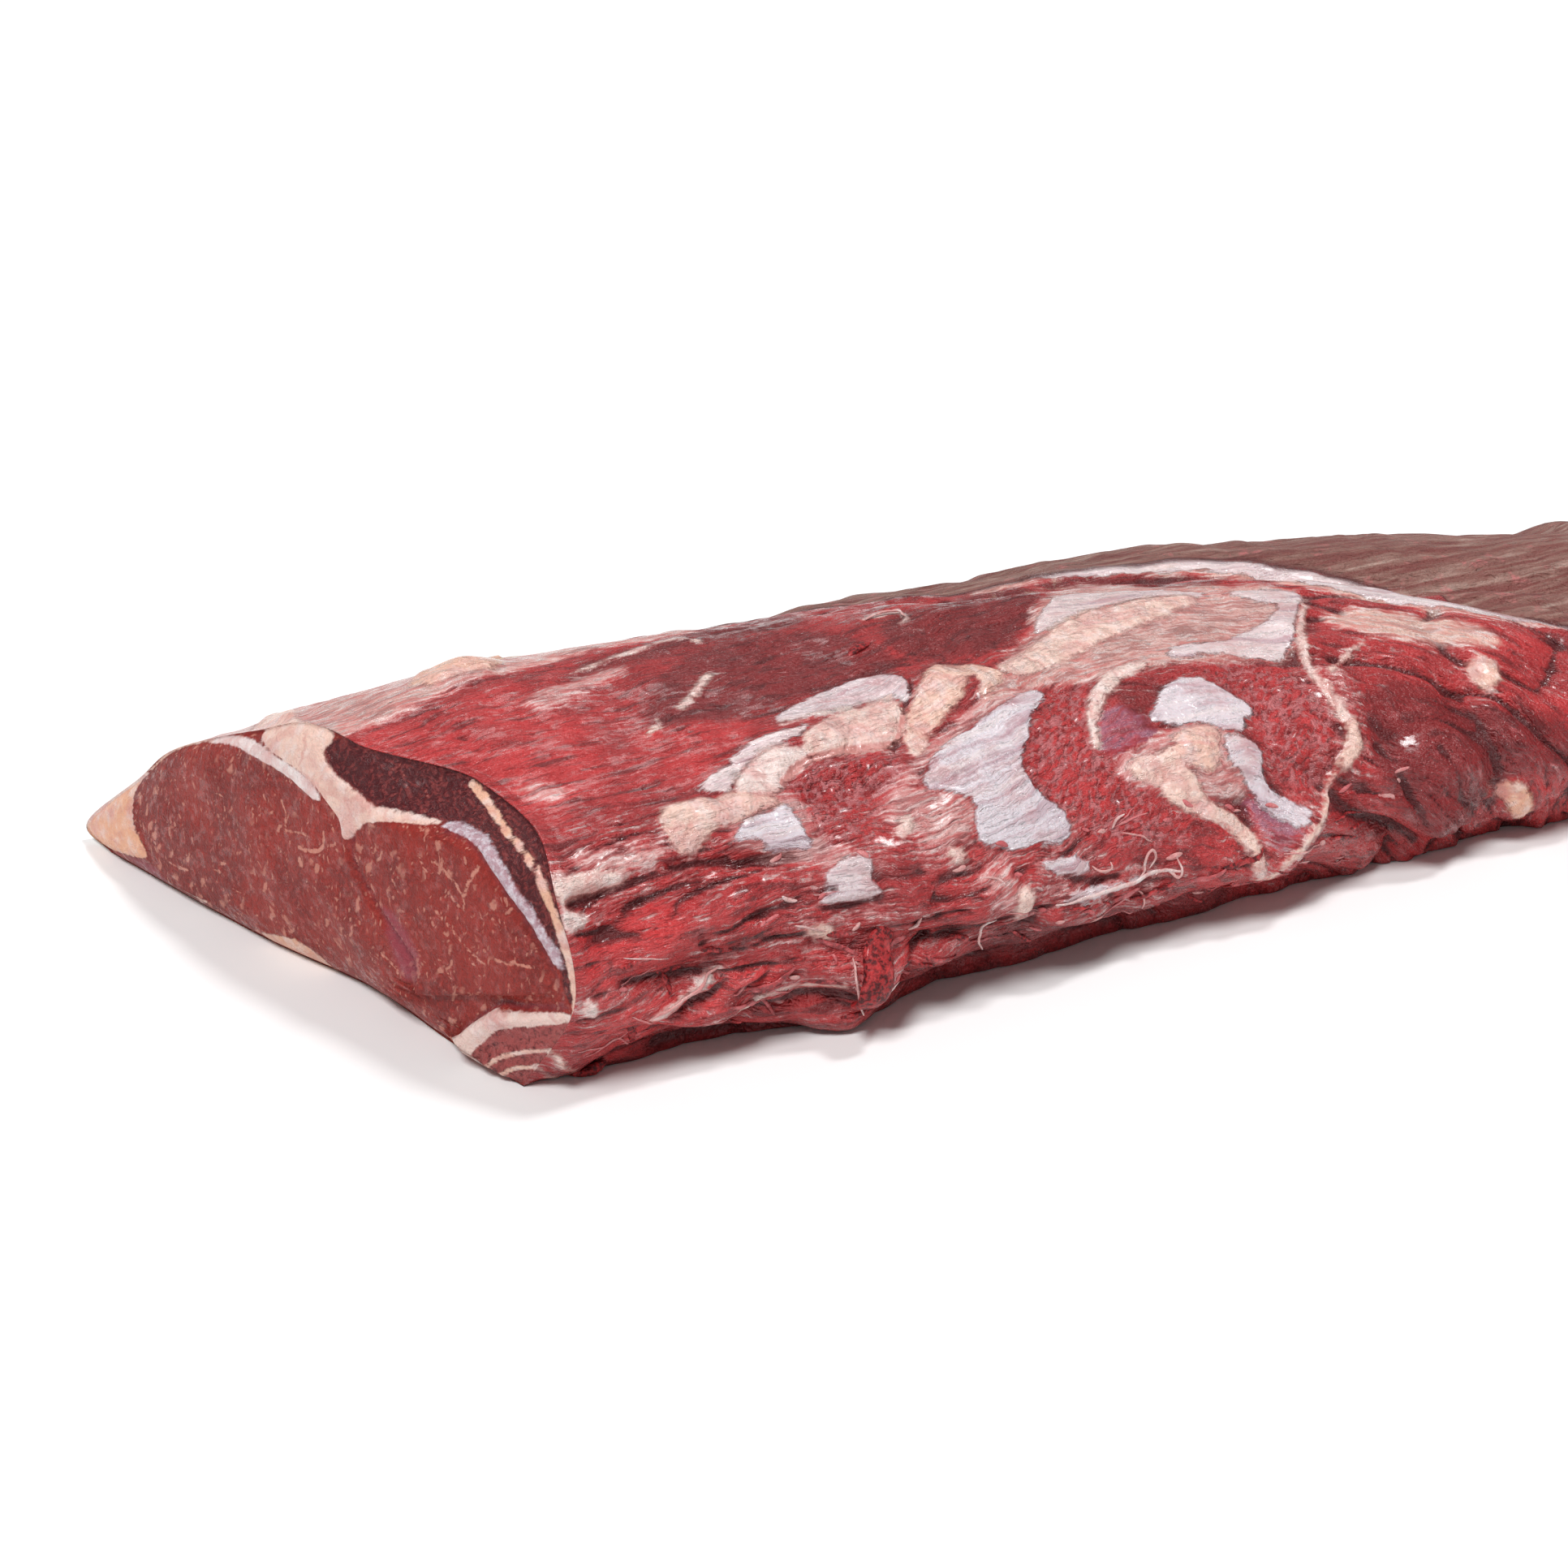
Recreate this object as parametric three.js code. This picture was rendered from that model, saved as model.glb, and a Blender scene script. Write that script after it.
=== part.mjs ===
// Raw wagyu ribeye roast: a boneless loin muscle lying on its flat side, cut square at the near left end.
// Millimetres, +Z up. Working axes: x along the front bottom edge from the cut end, y across to the back, z height.
// The finished solid is moved so that the origin is under the middle of its box.
import * as THREE from 'three';
import { mergeVertices } from 'three/addons/utils/BufferGeometryUtils.js';

// Cross sections along the roast. "at" is where a section meets the front bottom edge, "skew" and "lean" are how far
// it runs along x for each mm across and up. The other entries are [across, height] of one lengthwise guide line each.
const sections = [
  { at: 0, skew: -0.383, lean: 0.06, front: [0, 0], waist: [-19, 36], shoulder: [-4, 68], slope: [30, 74],
    crest: [80, 81], groove: [113, 69], backCrest: [152, 50], backShoulder: [172, 33], backWaist: [203, 6],
    back: [190, 0] },
  { at: 60, skew: -0.26, lean: 0.03, front: [-4, 0], waist: [-19, 32], shoulder: [-6, 63], slope: [30, 77],
    crest: [92, 83], groove: [128, 71], backCrest: [158, 55], backShoulder: [184, 36], backWaist: [200, 15],
    back: [186, 0] },
  { at: 130, skew: -0.14, lean: 0, front: [-9, 0], waist: [-23, 28], shoulder: [-10, 57], slope: [27, 75],
    crest: [88, 82], groove: [122, 70], backCrest: [152, 58], backShoulder: [180, 42], backWaist: [197, 20],
    back: [184, 0] },
  { at: 205, skew: -0.05, lean: 0, front: [-4, 0], waist: [-16, 26], shoulder: [-4, 53], slope: [28, 71],
    crest: [82, 80], groove: [112, 68], backCrest: [140, 62], backShoulder: [174, 50], backWaist: [192, 24],
    back: [178, 0] },
  { at: 280, skew: 0.02, lean: 0, front: [0, 0], waist: [-12, 24], shoulder: [-1, 48], slope: [27, 66],
    crest: [72, 76], groove: [98, 62], backCrest: [130, 66], backShoulder: [164, 53], backWaist: [184, 26],
    back: [170, 0] },
  { at: 355, skew: 0.09, lean: 0, front: [3, 0], waist: [-9, 22], shoulder: [-3, 44], slope: [16, 60],
    crest: [50, 67], groove: [72, 52], backCrest: [108, 63], backShoulder: [150, 51], backWaist: [172, 26],
    back: [158, 0] },
  { at: 450, skew: 0.17, lean: 0, front: [-6, 0], waist: [-20, 20], shoulder: [-16, 40], slope: [0, 52],
    crest: [26, 57], groove: [48, 44], backCrest: [86, 57], backShoulder: [130, 48], backWaist: [150, 24],
    back: [136, 0] },
];
const guides = ['front', 'waist', 'shoulder', 'slope', 'crest', 'groove', 'backCrest', 'backShoulder', 'backWaist', 'back'];

// Mesh fineness: sections along, points round the near side and round the far side, and steps across the end cuts.
const rows = 92;
const nearPoints = 26;
const farPoints = 14;
const nearGuides = 4.6;
const bottomSteps = 12;
const endRings = [0, 0.2, 0.4, 0.56, 0.69, 0.79, 0.87, 0.94, 1];
const endCentre = { across: 0.42, up: 0.46 };

// Swellings and hollows on the skin: "x" along, "guide" counts the guide lines round from the front bottom edge,
// "long" and "wide" are half sizes and "high" is how far it stands proud.
const lumps = [
  { what: 'fat island on the slope', x: 157, guide: 3.2, long: 24, wide: 12, high: 3.5 },
  { what: 'fat heap by the cut end', x: 54, guide: 2.35, long: 12, wide: 9, high: 2.5 },
  { what: 'silverskin shelf', x: 104, guide: 3.0, long: 26, wide: 9, high: 2 },
  { what: 'lean hollow under the shelf', x: 101, guide: 2.45, long: 20, wide: 9, high: -4 },
  { what: 'silverskin swelling', x: 138, guide: 2.25, long: 22, wide: 16, high: 2.5 },
  { what: 'fat knots', x: 217, guide: 2.2, long: 14, wide: 9, high: 3.5 },
  { what: 'yellow fat on the crest', x: 20, guide: 4.27, long: 16, wide: 12, high: 2.5 },
  { what: 'torn flap at the foot', x: 100, guide: 0.62, long: 12, wide: 11, high: 7 },
  { what: 'torn blob at the foot', x: 103, guide: 0.18, long: 12, wide: 9, high: 8 },
  { what: 'fat bank behind the cut', x: -22, guide: 4.75, long: 20, wide: 15, high: 5 },
  { what: 'lean roll at the cut corner', x: 8, guide: 0.4, long: 16, wide: 12, high: 3 },
  { what: 'bulge past the fold', x: 308, guide: 1.25, long: 26, wide: 20, high: 5 },
  { what: 'bulge before the fold', x: 238, guide: 0.9, long: 26, wide: 14, high: 4 },
  { what: 'far bulge of the near side', x: 350, guide: 1.4, long: 24, wide: 18, high: 4 },
];

// Creases and raised seams on the skin, each through points of [x, guide].
const seams = [
  { what: 'fold where the roast turns', path: [[262, 1.75], [276, 1.2], [292, 0.7], [298, 0.3]], wide: 12, high: -5 },
  { what: 'fat seam round the last muscle', path: [[280, 3.3], [284, 2.6], [279, 2.05], [262, 1.5], [247, 1.1]],
    wide: 8, high: 2.5 },
  { what: 'upper tear from the cut end', path: [[14, 1.7], [40, 1.86], [62, 2.02]], wide: 7, high: -3 },
  { what: 'lower tear from the cut end', path: [[20, 1.45], [44, 1.66], [67, 1.87], [88, 1.95]], wide: 7, high: -3 },
  { what: 'tear above the foot', path: [[30, 0.95], [70, 1.1], [112, 1.0], [150, 0.8]], wide: 9, high: -4 },
  { what: 'fold on the far near side', path: [[322, 2.4], [328, 1.6], [334, 0.9]], wide: 11, high: -4 },
];

// The cut end: the inner muscles stand proud of the outer strip, whose rim is set back by up to "setback" between the
// guides in "setbackGuides". Seams sink between the muscles and the rolled corner at the foot stands out.
const face = {
  setback: 15.5, setbackGuides: [1.5, 3.1, 3.2, 3.75], setbackReach: 0.15, stripWidth: 17, ledge: 2,
  rimRound: 2, bulge: 2.5, underlip: 7, lipMiddle: 68, lipReach: 30, seamDepth: 2.6, seamWidth: 4.5,
  corner: { across: 6, height: 4, reach: 24, high: 5 },
  muscleSeam: [[72, 78], [58, 62], [50, 48], [44, 30], [34, 14]],
  cornerSeam: [[33, 3], [24, 16], [10, 24], [-14, 24]],
};
const farFace = { bulge: 3, rimRound: 3, seamDepth: 2, seamWidth: 5, muscleSeam: [[40, 60], [46, 30], [36, 6]] };

// Sizes of the torn relief: height on the lower near side, on the rest of the near side and on the far side.
const crags = { foot: 2.6, near: 1.2, far: 0.9 };

const guideCurves = guides.map((name) => new THREE.CatmullRomCurve3(
  sections.map((section) => new THREE.Vector3(0, ...section[name])), false, 'catmullrom', 0.5));
const layoutCurve = new THREE.CatmullRomCurve3(
  sections.map((section) => new THREE.Vector3(section.at, section.skew, section.lean)), false, 'catmullrom', 0.5);

// A curve round the roast at a place along it, from 0 at the cut end to 1 at the far end.
function sectionAt(along) {
  const layout = layoutCurve.getPoint(along);
  const points = guideCurves.map((curve) => curve.getPoint(along));
  return { along, layout, curve: new THREE.CatmullRomCurve3(points, false, 'catmullrom', 0.5) };
}

function smooth(from, to, value) {
  const part = Math.min(Math.max((value - from) / (to - from), 0), 1);
  return part * part * (3 - 2 * part);
}

// How far the rim of the cut end is set back at a guide number.
function setbackAt(guide) {
  const [from, full, until, to] = face.setbackGuides;
  return face.setback * smooth(from, full, guide) * smooth(to, until, guide);
}

// The smooth skin: the point on a section at a guide number, with x from the section's skew and lean.
function skinPoint(section, guide) {
  const point = section.curve.getPoint(guide / (guides.length - 1));
  point.z = Math.max(point.z, 0);
  point.x = section.layout.x + section.layout.y * point.y + section.layout.z * point.z;
  point.x += setbackAt(guide) * smooth(face.setbackReach, 0, section.along);
  return point;
}

// Where a feature given by x and guide lies on the smooth skin.
function placeOnSkin(x, guide) {
  let low = 0;
  let high = 1;
  for (let step = 0; step < 24; step += 1) {
    const middle = (low + high) / 2;
    if (skinPoint(sectionAt(middle), guide).x < x) low = middle;
    else high = middle;
  }
  return skinPoint(sectionAt(low), guide);
}

function distanceToPath(point, path) {
  const nearest = new THREE.Vector3();
  let best = Infinity;
  for (let i = 0; i + 1 < path.length; i += 1) {
    new THREE.Line3(path[i], path[i + 1]).closestPointToPoint(point, true, nearest);
    best = Math.min(best, nearest.distanceTo(point));
  }
  return best;
}

const placedLumps = lumps.map((lump) => ({ ...lump, centre: placeOnSkin(lump.x, lump.guide) }));
const placedSeams = seams.map((seam) => ({ ...seam, points: seam.path.map(([x, guide]) => placeOnSkin(x, guide)) }));

// Torn, uneven flesh: long swells along the roast, crossed by shorter ones round it.
function cragHeight(point, guide) {
  const swell = Math.sin(point.x / 15 + 2.1 * Math.sin(point.z / 19)) * Math.sin(point.z / 5 + point.x / 37);
  const lump = Math.sin(point.x / 8 + point.y / 11) * Math.sin(point.z / 6.5 - point.x / 21 + point.y / 14);
  const foot = smooth(1.9, 1.1, guide) * smooth(0, 0.5, guide);
  const size = crags.foot * foot + crags.near * (1 - foot) * smooth(5, 4.4, guide) + crags.far * smooth(4.4, 5, guide);
  return size * (0.65 * swell + 0.35 * lump);
}

function reliefHeight(point, guide) {
  let height = cragHeight(point, guide);
  for (const lump of placedLumps) {
    const offset = point.clone().sub(lump.centre);
    const reach = (offset.x / lump.long) ** 2 + (offset.y ** 2 + offset.z ** 2) / lump.wide ** 2;
    height += lump.high * Math.exp(-1.4 * reach);
  }
  for (const seam of placedSeams) {
    height += seam.high * Math.exp(-((1.6 * distanceToPath(point, seam.points) / seam.wide) ** 2));
  }
  return height * smooth(9, 8.6, guide);
}

// The skin with its relief, moved square to the section. The feet stay on the table.
function reliefPoint(along, guide) {
  const section = sectionAt(along);
  const point = skinPoint(section, guide);
  const tangent = section.curve.getTangent(guide / (guides.length - 1));
  const height = reliefHeight(point, guide) * smooth(0, 0.03, along) * smooth(1, 0.97, along);
  point.y -= height * tangent.z;
  point.z = Math.max(point.z + height * tangent.y, 0);
  if (guide === 0 || guide === guides.length - 1) point.z = 0;
  return point;
}

const guideSteps = [];
for (let i = 0; i <= nearPoints; i += 1) guideSteps.push((nearGuides * i) / nearPoints);
for (let i = 1; i <= farPoints; i += 1) guideSteps.push(nearGuides + ((guides.length - 1 - nearGuides) * i) / farPoints);

const skin = [];
for (let row = 0; row <= rows; row += 1) {
  skin.push(guideSteps.map((guide) => reliefPoint(row / rows, guide)));
}

const triangles = [];
function addTriangle(a, b, c) {
  triangles.push(a, b, c);
}

for (let row = 0; row < rows; row += 1) {
  for (let i = 0; i + 1 < guideSteps.length; i += 1) {
    const [a, b, c, d] = [skin[row][i], skin[row + 1][i], skin[row + 1][i + 1], skin[row][i + 1]];
    addTriangle(a, b, c);
    addTriangle(a, c, d);
  }
}

// The edge of an end cut: over the skin from the front to the back, then forward along the table.
function endLoop(row, lip) {
  const over = skin[row];
  const [frontFoot, backFoot] = [over[0], over[over.length - 1]];
  const under = [];
  for (let i = 1; i < bottomSteps; i += 1) {
    const point = backFoot.clone().lerp(frontFoot, i / bottomSteps);
    point.x += lip * Math.exp(-(((point.y - face.lipMiddle) / face.lipReach) ** 2));
    under.push(point);
  }
  return [...over, ...under];
}

function flatPath(pairs) {
  return pairs.map(([across, height]) => new THREE.Vector3(0, across, height));
}

// How far a cut end stands out at a place on it: muscles bulge, seams sink and the outer strip falls back to its rim.
function cutHeight(shape, paths, point, ring, guide, span) {
  const flat = new THREE.Vector3(0, point.y, point.z);
  let height = shape.bulge * (1 - ring ** 3) - shape.rimRound * ring ** 12;
  for (const path of paths) height -= shape.seamDepth * Math.exp(-((1.6 * distanceToPath(flat, path) / shape.seamWidth) ** 2));
  if (shape.setback) {
    const back = setbackAt(guide);
    const stripEdge = (shape.stripWidth * back) / shape.setback / span;
    height += back * (ring - smooth(1 - stripEdge, 1, ring));
    height += shape.ledge * (1 - ring ** 6) * smooth(1 - stripEdge + 0.03, 1 - stripEdge - 0.05, ring);
    const fromCorner = Math.hypot(point.y - shape.corner.across, point.z - shape.corner.height);
    height += shape.corner.high * (1 - ring ** 6) * smooth(1, 0.6, fromCorner / shape.corner.reach);
  }
  return height;
}

function addEnd(loop, shape, paths, outward) {
  const box = new THREE.Box3().setFromPoints(loop);
  const [front, back] = [loop[0], loop[guideSteps.length - 1]];
  const centre = front.clone().lerp(back, endCentre.across);
  centre.z = box.max.z * endCentre.up;
  const heightAt = (point, ring, i) => {
    const span = centre.distanceTo(loop[i]);
    const guide = i < guideSteps.length ? guideSteps[i] : 0;
    return cutHeight(shape, paths, point, ring, guide, span);
  };
  const rings = endRings.map((ring) => loop.map((edge, i) => {
    const point = centre.clone().lerp(edge, ring);
    if (ring < 1) point.x += outward * heightAt(point, ring, ring === 0 ? 0 : i);
    return point;
  }));
  for (let ring = 0; ring + 1 < rings.length; ring += 1) {
    for (let i = 0; i < loop.length; i += 1) {
      const next = (i + 1) % loop.length;
      const [a, b] = [rings[ring][i], rings[ring + 1][i]];
      const [c, d] = [rings[ring + 1][next], rings[ring][next]];
      const faces = ring === 0 ? [[a, b, c]] : [[a, b, c], [a, c, d]];
      for (const [p, q, r] of faces) {
        if (outward < 0) addTriangle(p, q, r);
        else addTriangle(p, r, q);
      }
    }
  }
}

const nearLoop = endLoop(0, face.underlip);
const farLoop = endLoop(rows, 0);
addEnd(nearLoop, face, [flatPath(face.muscleSeam), flatPath(face.cornerSeam)], -1);
addEnd(farLoop, farFace, [flatPath(farFace.muscleSeam)], 1);

// The flat side that the roast lies on.
const footLoop = [
  ...skin.map((row) => row[0]),
  ...farLoop.slice(guideSteps.length).reverse(),
  ...skin.map((row) => row[row.length - 1]).reverse(),
  ...nearLoop.slice(guideSteps.length),
];
const footOutline = footLoop.map((point) => new THREE.Vector2(point.x, point.y));
for (const [i, j, k] of THREE.ShapeUtils.triangulateShape(footOutline, [])) {
  addTriangle(footLoop[i], footLoop[k], footLoop[j]);
}

const geometry = mergeVertices(new THREE.BufferGeometry().setFromPoints(triangles), 0.001);
geometry.computeBoundingBox();
const middle = geometry.boundingBox.getCenter(new THREE.Vector3());
geometry.translate(-middle.x, -middle.y, 0);

const rawBeef = new THREE.MeshStandardMaterial({ color: 0x8f3530, roughness: 0.38, metalness: 0 });
const roast = new THREE.Mesh(geometry, rawBeef);
roast.name = 'ribeye_roast';

const object = new THREE.Group();
object.add(roast);

export default object;
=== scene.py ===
import math
import bpy
import numpy as np
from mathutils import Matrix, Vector
from mathutils.bvhtree import BVHTree


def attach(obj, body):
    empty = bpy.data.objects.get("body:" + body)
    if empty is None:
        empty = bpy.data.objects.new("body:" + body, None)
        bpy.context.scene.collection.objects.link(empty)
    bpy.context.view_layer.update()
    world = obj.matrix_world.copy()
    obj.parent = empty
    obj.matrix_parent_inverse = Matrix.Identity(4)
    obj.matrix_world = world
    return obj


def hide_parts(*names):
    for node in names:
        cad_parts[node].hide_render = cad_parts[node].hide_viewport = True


# A raw ribeye roast on a pale floor. Working sizes are millimetres from the front foot of the cut end:
# x along the roast, y across it to the back, z up. Blender gets metres in the frame's own axes.
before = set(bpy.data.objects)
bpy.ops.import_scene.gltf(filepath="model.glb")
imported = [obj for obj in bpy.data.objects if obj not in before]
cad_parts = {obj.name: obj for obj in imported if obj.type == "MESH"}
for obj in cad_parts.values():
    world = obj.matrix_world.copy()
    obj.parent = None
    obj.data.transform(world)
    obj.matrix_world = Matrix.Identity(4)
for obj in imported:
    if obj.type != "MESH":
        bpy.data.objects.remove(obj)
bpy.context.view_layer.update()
nodeName = "ribeye_roast"
frontFoot = np.array([-198.963, -88.839, 0.0])  # where the working origin lies in the frame
random = np.random.default_rng(20)
print("frame loaded")


# Small helpers for shapes


def smooth(low, high, value):
    part = np.clip((value - low) / (high - low), 0.0, 1.0)
    return part * part * (3.0 - 2.0 * part)


def bell(distance, width):
    return np.exp(-(distance / width) ** 2)


def spline(keys, place):
    # Catmull-Rom through evenly spaced keys, with straight run-outs at both ends
    last = len(keys) - 2
    step = np.clip(np.floor(place).astype(int), 0, last)
    part = (place - step).reshape(place.shape + (1,) * (keys.ndim - 1))
    now = keys[step]
    after = keys[step + 1]
    isFirst = (step == 0).reshape(part.shape)
    isLast = (step == last).reshape(part.shape)
    before = np.where(isFirst, 2 * now - after, keys[np.maximum(step - 1, 0)])
    beyond = np.where(isLast, 2 * after - now, keys[np.minimum(step + 2, last + 1)])
    bend = 2 * before - 5 * now + 4 * after - beyond
    twist = 3 * now - before - 3 * after + beyond
    return 0.5 * (2 * now + (after - before) * part + bend * part ** 2 + twist * part ** 3)


noiseSide = 64
noiseTable = np.random.default_rng(7).random((noiseSide,) * 3) * 2 - 1


def noise(points, size, seed=0):
    # smooth random heights from -1 to 1 that change over about "size" mm
    spot = points / np.asarray(size, float) + seed * 7.31
    corner = np.floor(spot).astype(int)
    part = spot - corner
    part = part * part * (3 - 2 * part)
    total = np.zeros(len(points))
    for i in range(8):
        side = np.array([i & 1, i >> 1 & 1, i >> 2])
        weight = np.where(side, part, 1 - part).prod(1)
        index = (corner + side) & (noiseSide - 1)
        total += weight * noiseTable[index[:, 0], index[:, 1], index[:, 2]]
    return total


def roughNoise(points, size, seed=0, octaves=3):
    total = np.zeros(len(points))
    for i in range(octaves):
        total += noise(points, np.asarray(size, float) / 2 ** i, seed + i) / 2 ** i
    return total


# The camera stands where the photograph was taken

view = {
    "place": (-183.1, -542.7, 370.0),  # mm, working axes
    "turn": 25.87,  # degrees from straight across the roast
    "tilt": 26.0,  # degrees down
    "focal": 3000.0,  # pixels of the photograph
    "picture": 1932.0,
    "sensor": 36.0,
}


def viewAxes():
    turn = math.radians(view["turn"])
    tilt = math.radians(view["tilt"])
    right = np.array([math.cos(turn), -math.sin(turn), 0.0])
    ahead = np.array([math.sin(turn), math.cos(turn), 0.0])
    forward = ahead * math.cos(tilt) - np.array([0.0, 0.0, math.sin(tilt)])
    up = ahead * math.sin(tilt) + np.array([0.0, 0.0, math.cos(tilt)])
    return right, up, forward


def toPicture(points):
    right, up, forward = viewAxes()
    offset = points - np.array(view["place"])
    depth = offset @ forward
    middle = view["picture"] / 2
    return np.stack([middle + view["focal"] * (offset @ right) / depth,
                     middle - view["focal"] * (offset @ up) / depth], 1)


def sightLine(pixel):
    right, up, forward = viewAxes()
    middle = view["picture"] / 2
    across = (pixel[0] - middle) / view["focal"]
    down = (pixel[1] - middle) / view["focal"]
    line = forward + right * across - up * down
    return line / np.linalg.norm(line)


def addCamera():
    data = bpy.data.cameras.new("camera")
    data.sensor_width = view["sensor"]
    data.lens = view["focal"] * view["sensor"] / view["picture"]
    camera = bpy.data.objects.new("camera", data)
    bpy.context.scene.collection.objects.link(camera)
    camera.location = (np.array(view["place"]) + frontFoot) / 1000
    camera.rotation_euler = (math.radians(90 - view["tilt"]), 0, -math.radians(view["turn"]))
    bpy.context.scene.camera = camera


addCamera()
print("camera placed")


# The roast's smooth form. Each section names its place along the front foot, its skew and lean, and then
# its guide points as (across, height), in the order of the guides.

guides = "front waist shoulder slope crest groove backCrest backShoulder backWaist back".split()
sections = [
    {"at": 0, "skew": -0.383, "lean": 0.06, "points": [
        (0, 0), (-19, 36), (-4, 68), (30, 74), (80, 81), (113, 69), (152, 50), (172, 33), (203, 6),
        (190, 0)]},
    {"at": 60, "skew": -0.26, "lean": 0.03, "points": [
        (-4, 0), (-19, 32), (-6, 63), (30, 77), (92, 83), (128, 71), (158, 55), (184, 36), (200, 15),
        (186, 0)]},
    {"at": 130, "skew": -0.14, "lean": 0.0, "points": [
        (-9, 0), (-23, 28), (-10, 57), (27, 75), (88, 82), (122, 70), (152, 58), (180, 42), (197, 20),
        (184, 0)]},
    {"at": 205, "skew": -0.05, "lean": 0.0, "points": [
        (-4, 0), (-16, 26), (-4, 53), (28, 71), (82, 80), (112, 68), (140, 62), (174, 50), (192, 24),
        (178, 0)]},
    {"at": 280, "skew": 0.02, "lean": 0.0, "points": [
        (0, 0), (-12, 24), (-1, 48), (27, 66), (72, 76), (98, 62), (130, 66), (164, 53), (184, 26),
        (170, 0)]},
    {"at": 355, "skew": 0.09, "lean": 0.0, "points": [
        (3, 0), (-9, 22), (-3, 44), (16, 60), (50, 67), (72, 52), (108, 63), (150, 51), (172, 26),
        (158, 0)]},
    {"at": 450, "skew": 0.17, "lean": 0.0, "points": [
        (-6, 0), (-20, 20), (-16, 40), (0, 52), (26, 57), (48, 44), (86, 57), (130, 48), (150, 24),
        (136, 0)]},
]
rim = {"setback": 15.5, "guides": (1.5, 3.1, 3.2, 3.75), "reach": 0.9}  # the cut's upper near rim leans back
fineness = {
    "rows": 400, "rowGrading": 0.30,
    "nearSteps": 144, "farSteps": 46, "nearGuides": 4.6,
    "bottomSteps": 16, "cutRings": 62, "farRings": 14,
}
sectionPoints = np.array([section["points"] for section in sections], float)
sectionLayout = np.array([[section["at"], section["skew"], section["lean"]] for section in sections], float)


def setbackAt(guide):
    start, full, until, end = rim["guides"]
    return rim["setback"] * smooth(start, full, guide) * smooth(end, until, guide)


def skinGrid(along, around):
    # points of the smooth skin for each place along (0 to 6) and each guide number round it (0 to 9)
    layout = spline(sectionLayout, along)
    ribs = np.swapaxes(spline(sectionPoints, along), 0, 1)
    points = np.swapaxes(spline(ribs, around), 0, 1)
    height = np.maximum(points[..., 1], 0.0)
    x = layout[:, None, 0] + layout[:, None, 1] * points[..., 0] + layout[:, None, 2] * height
    x = x + setbackAt(around) * smooth(rim["reach"], 0, along)[:, None]
    return np.stack([x, points[..., 0], height], -1)


def gridNormals(grid):
    alongStep = np.gradient(grid, axis=0)
    aroundStep = np.gradient(grid, axis=1)
    normal = np.cross(alongStep, aroundStep)
    return normal / np.maximum(np.linalg.norm(normal, axis=-1, keepdims=True), 1e-9)


part = np.linspace(0, 1, fineness["rows"] + 1)
grade = fineness["rowGrading"]
alongPlaces = (len(sections) - 1) * ((1 - grade) * part + grade * part ** 2)
aroundPlaces = np.concatenate([
    np.linspace(0, fineness["nearGuides"], fineness["nearSteps"] + 1),
    np.linspace(fineness["nearGuides"], len(guides) - 1, fineness["farSteps"] + 1)[1:]])
skin = skinGrid(alongPlaces, aroundPlaces)
skinNormal = gridNormals(skin)
rowCount, columnCount = skin.shape[:2]
aroundSteps = np.linalg.norm(np.diff(skin, axis=1), axis=2)
aroundLength = np.concatenate([np.zeros((rowCount, 1)), aroundSteps], 1).cumsum(1)
flatSkin = skin.reshape(-1, 3)
flatNormal = skinNormal.reshape(-1, 3)
guideOf = np.tile(aroundPlaces, rowCount)
placeOf = np.repeat(alongPlaces, columnCount)
onSkin = np.stack([flatSkin[:, 0], aroundLength.reshape(-1), np.zeros(len(flatSkin))], 1)  # unrolled, mm
print("smooth form worked out", skin.shape)


# Outlines read off the photograph, in its pixels, and laid on the form along the lines of sight


def skinTree():
    faces = []
    for row in range(rowCount - 1):
        start = row * columnCount + np.arange(columnCount - 1)
        faces.extend(np.stack([start, start + columnCount, start + columnCount + 1, start + 1], 1).tolist())
    return BVHTree.FromPolygons(flatSkin.tolist(), faces)


tree = skinTree()
eye = Vector(view["place"])
skinPicture = toPicture(flatSkin)
facesEye = ((flatSkin - np.array(view["place"])) * flatNormal).sum(1) < 0
if np.mean(facesEye[(guideOf > 1) & (guideOf < 3)]) < 0.5:
    flatNormal = -flatNormal
    facesEye = ~facesEye


def laySkin(pixel):
    line = Vector(sightLine(pixel))
    hit = tree.ray_cast(eye, line)[0]
    if hit is None:
        offset = skinPicture - np.array(pixel)
        near = np.argmin(np.where(facesEye, (offset ** 2).sum(1), 1e9))
        return flatSkin[near]
    return np.array(hit)


def rounded(pixels, closed):
    # cuts the corners of an outline twice
    for turn in range(2):
        ends = list(pixels[1:]) + ([pixels[0]] if closed else [])
        points = [] if closed else [pixels[0]]
        for a, b in zip(pixels, ends):
            points.append((0.75 * a[0] + 0.25 * b[0], 0.75 * a[1] + 0.25 * b[1]))
            points.append((0.25 * a[0] + 0.75 * b[0], 0.25 * a[1] + 0.75 * b[1]))
        pixels = points if closed else points + [pixels[-1]]
    return pixels


def subdivided(pixels, closed, step=14.0):
    ends = list(pixels[1:]) + ([pixels[0]] if closed else [])
    points = []
    for a, b in zip(pixels, ends):
        count = max(1, int(math.dist(a, b) / step))
        for i in range(count):
            points.append((a[0] + (b[0] - a[0]) * i / count, a[1] + (b[1] - a[1]) * i / count))
    if not closed:
        points.append(pixels[-1])
    return points


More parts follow.
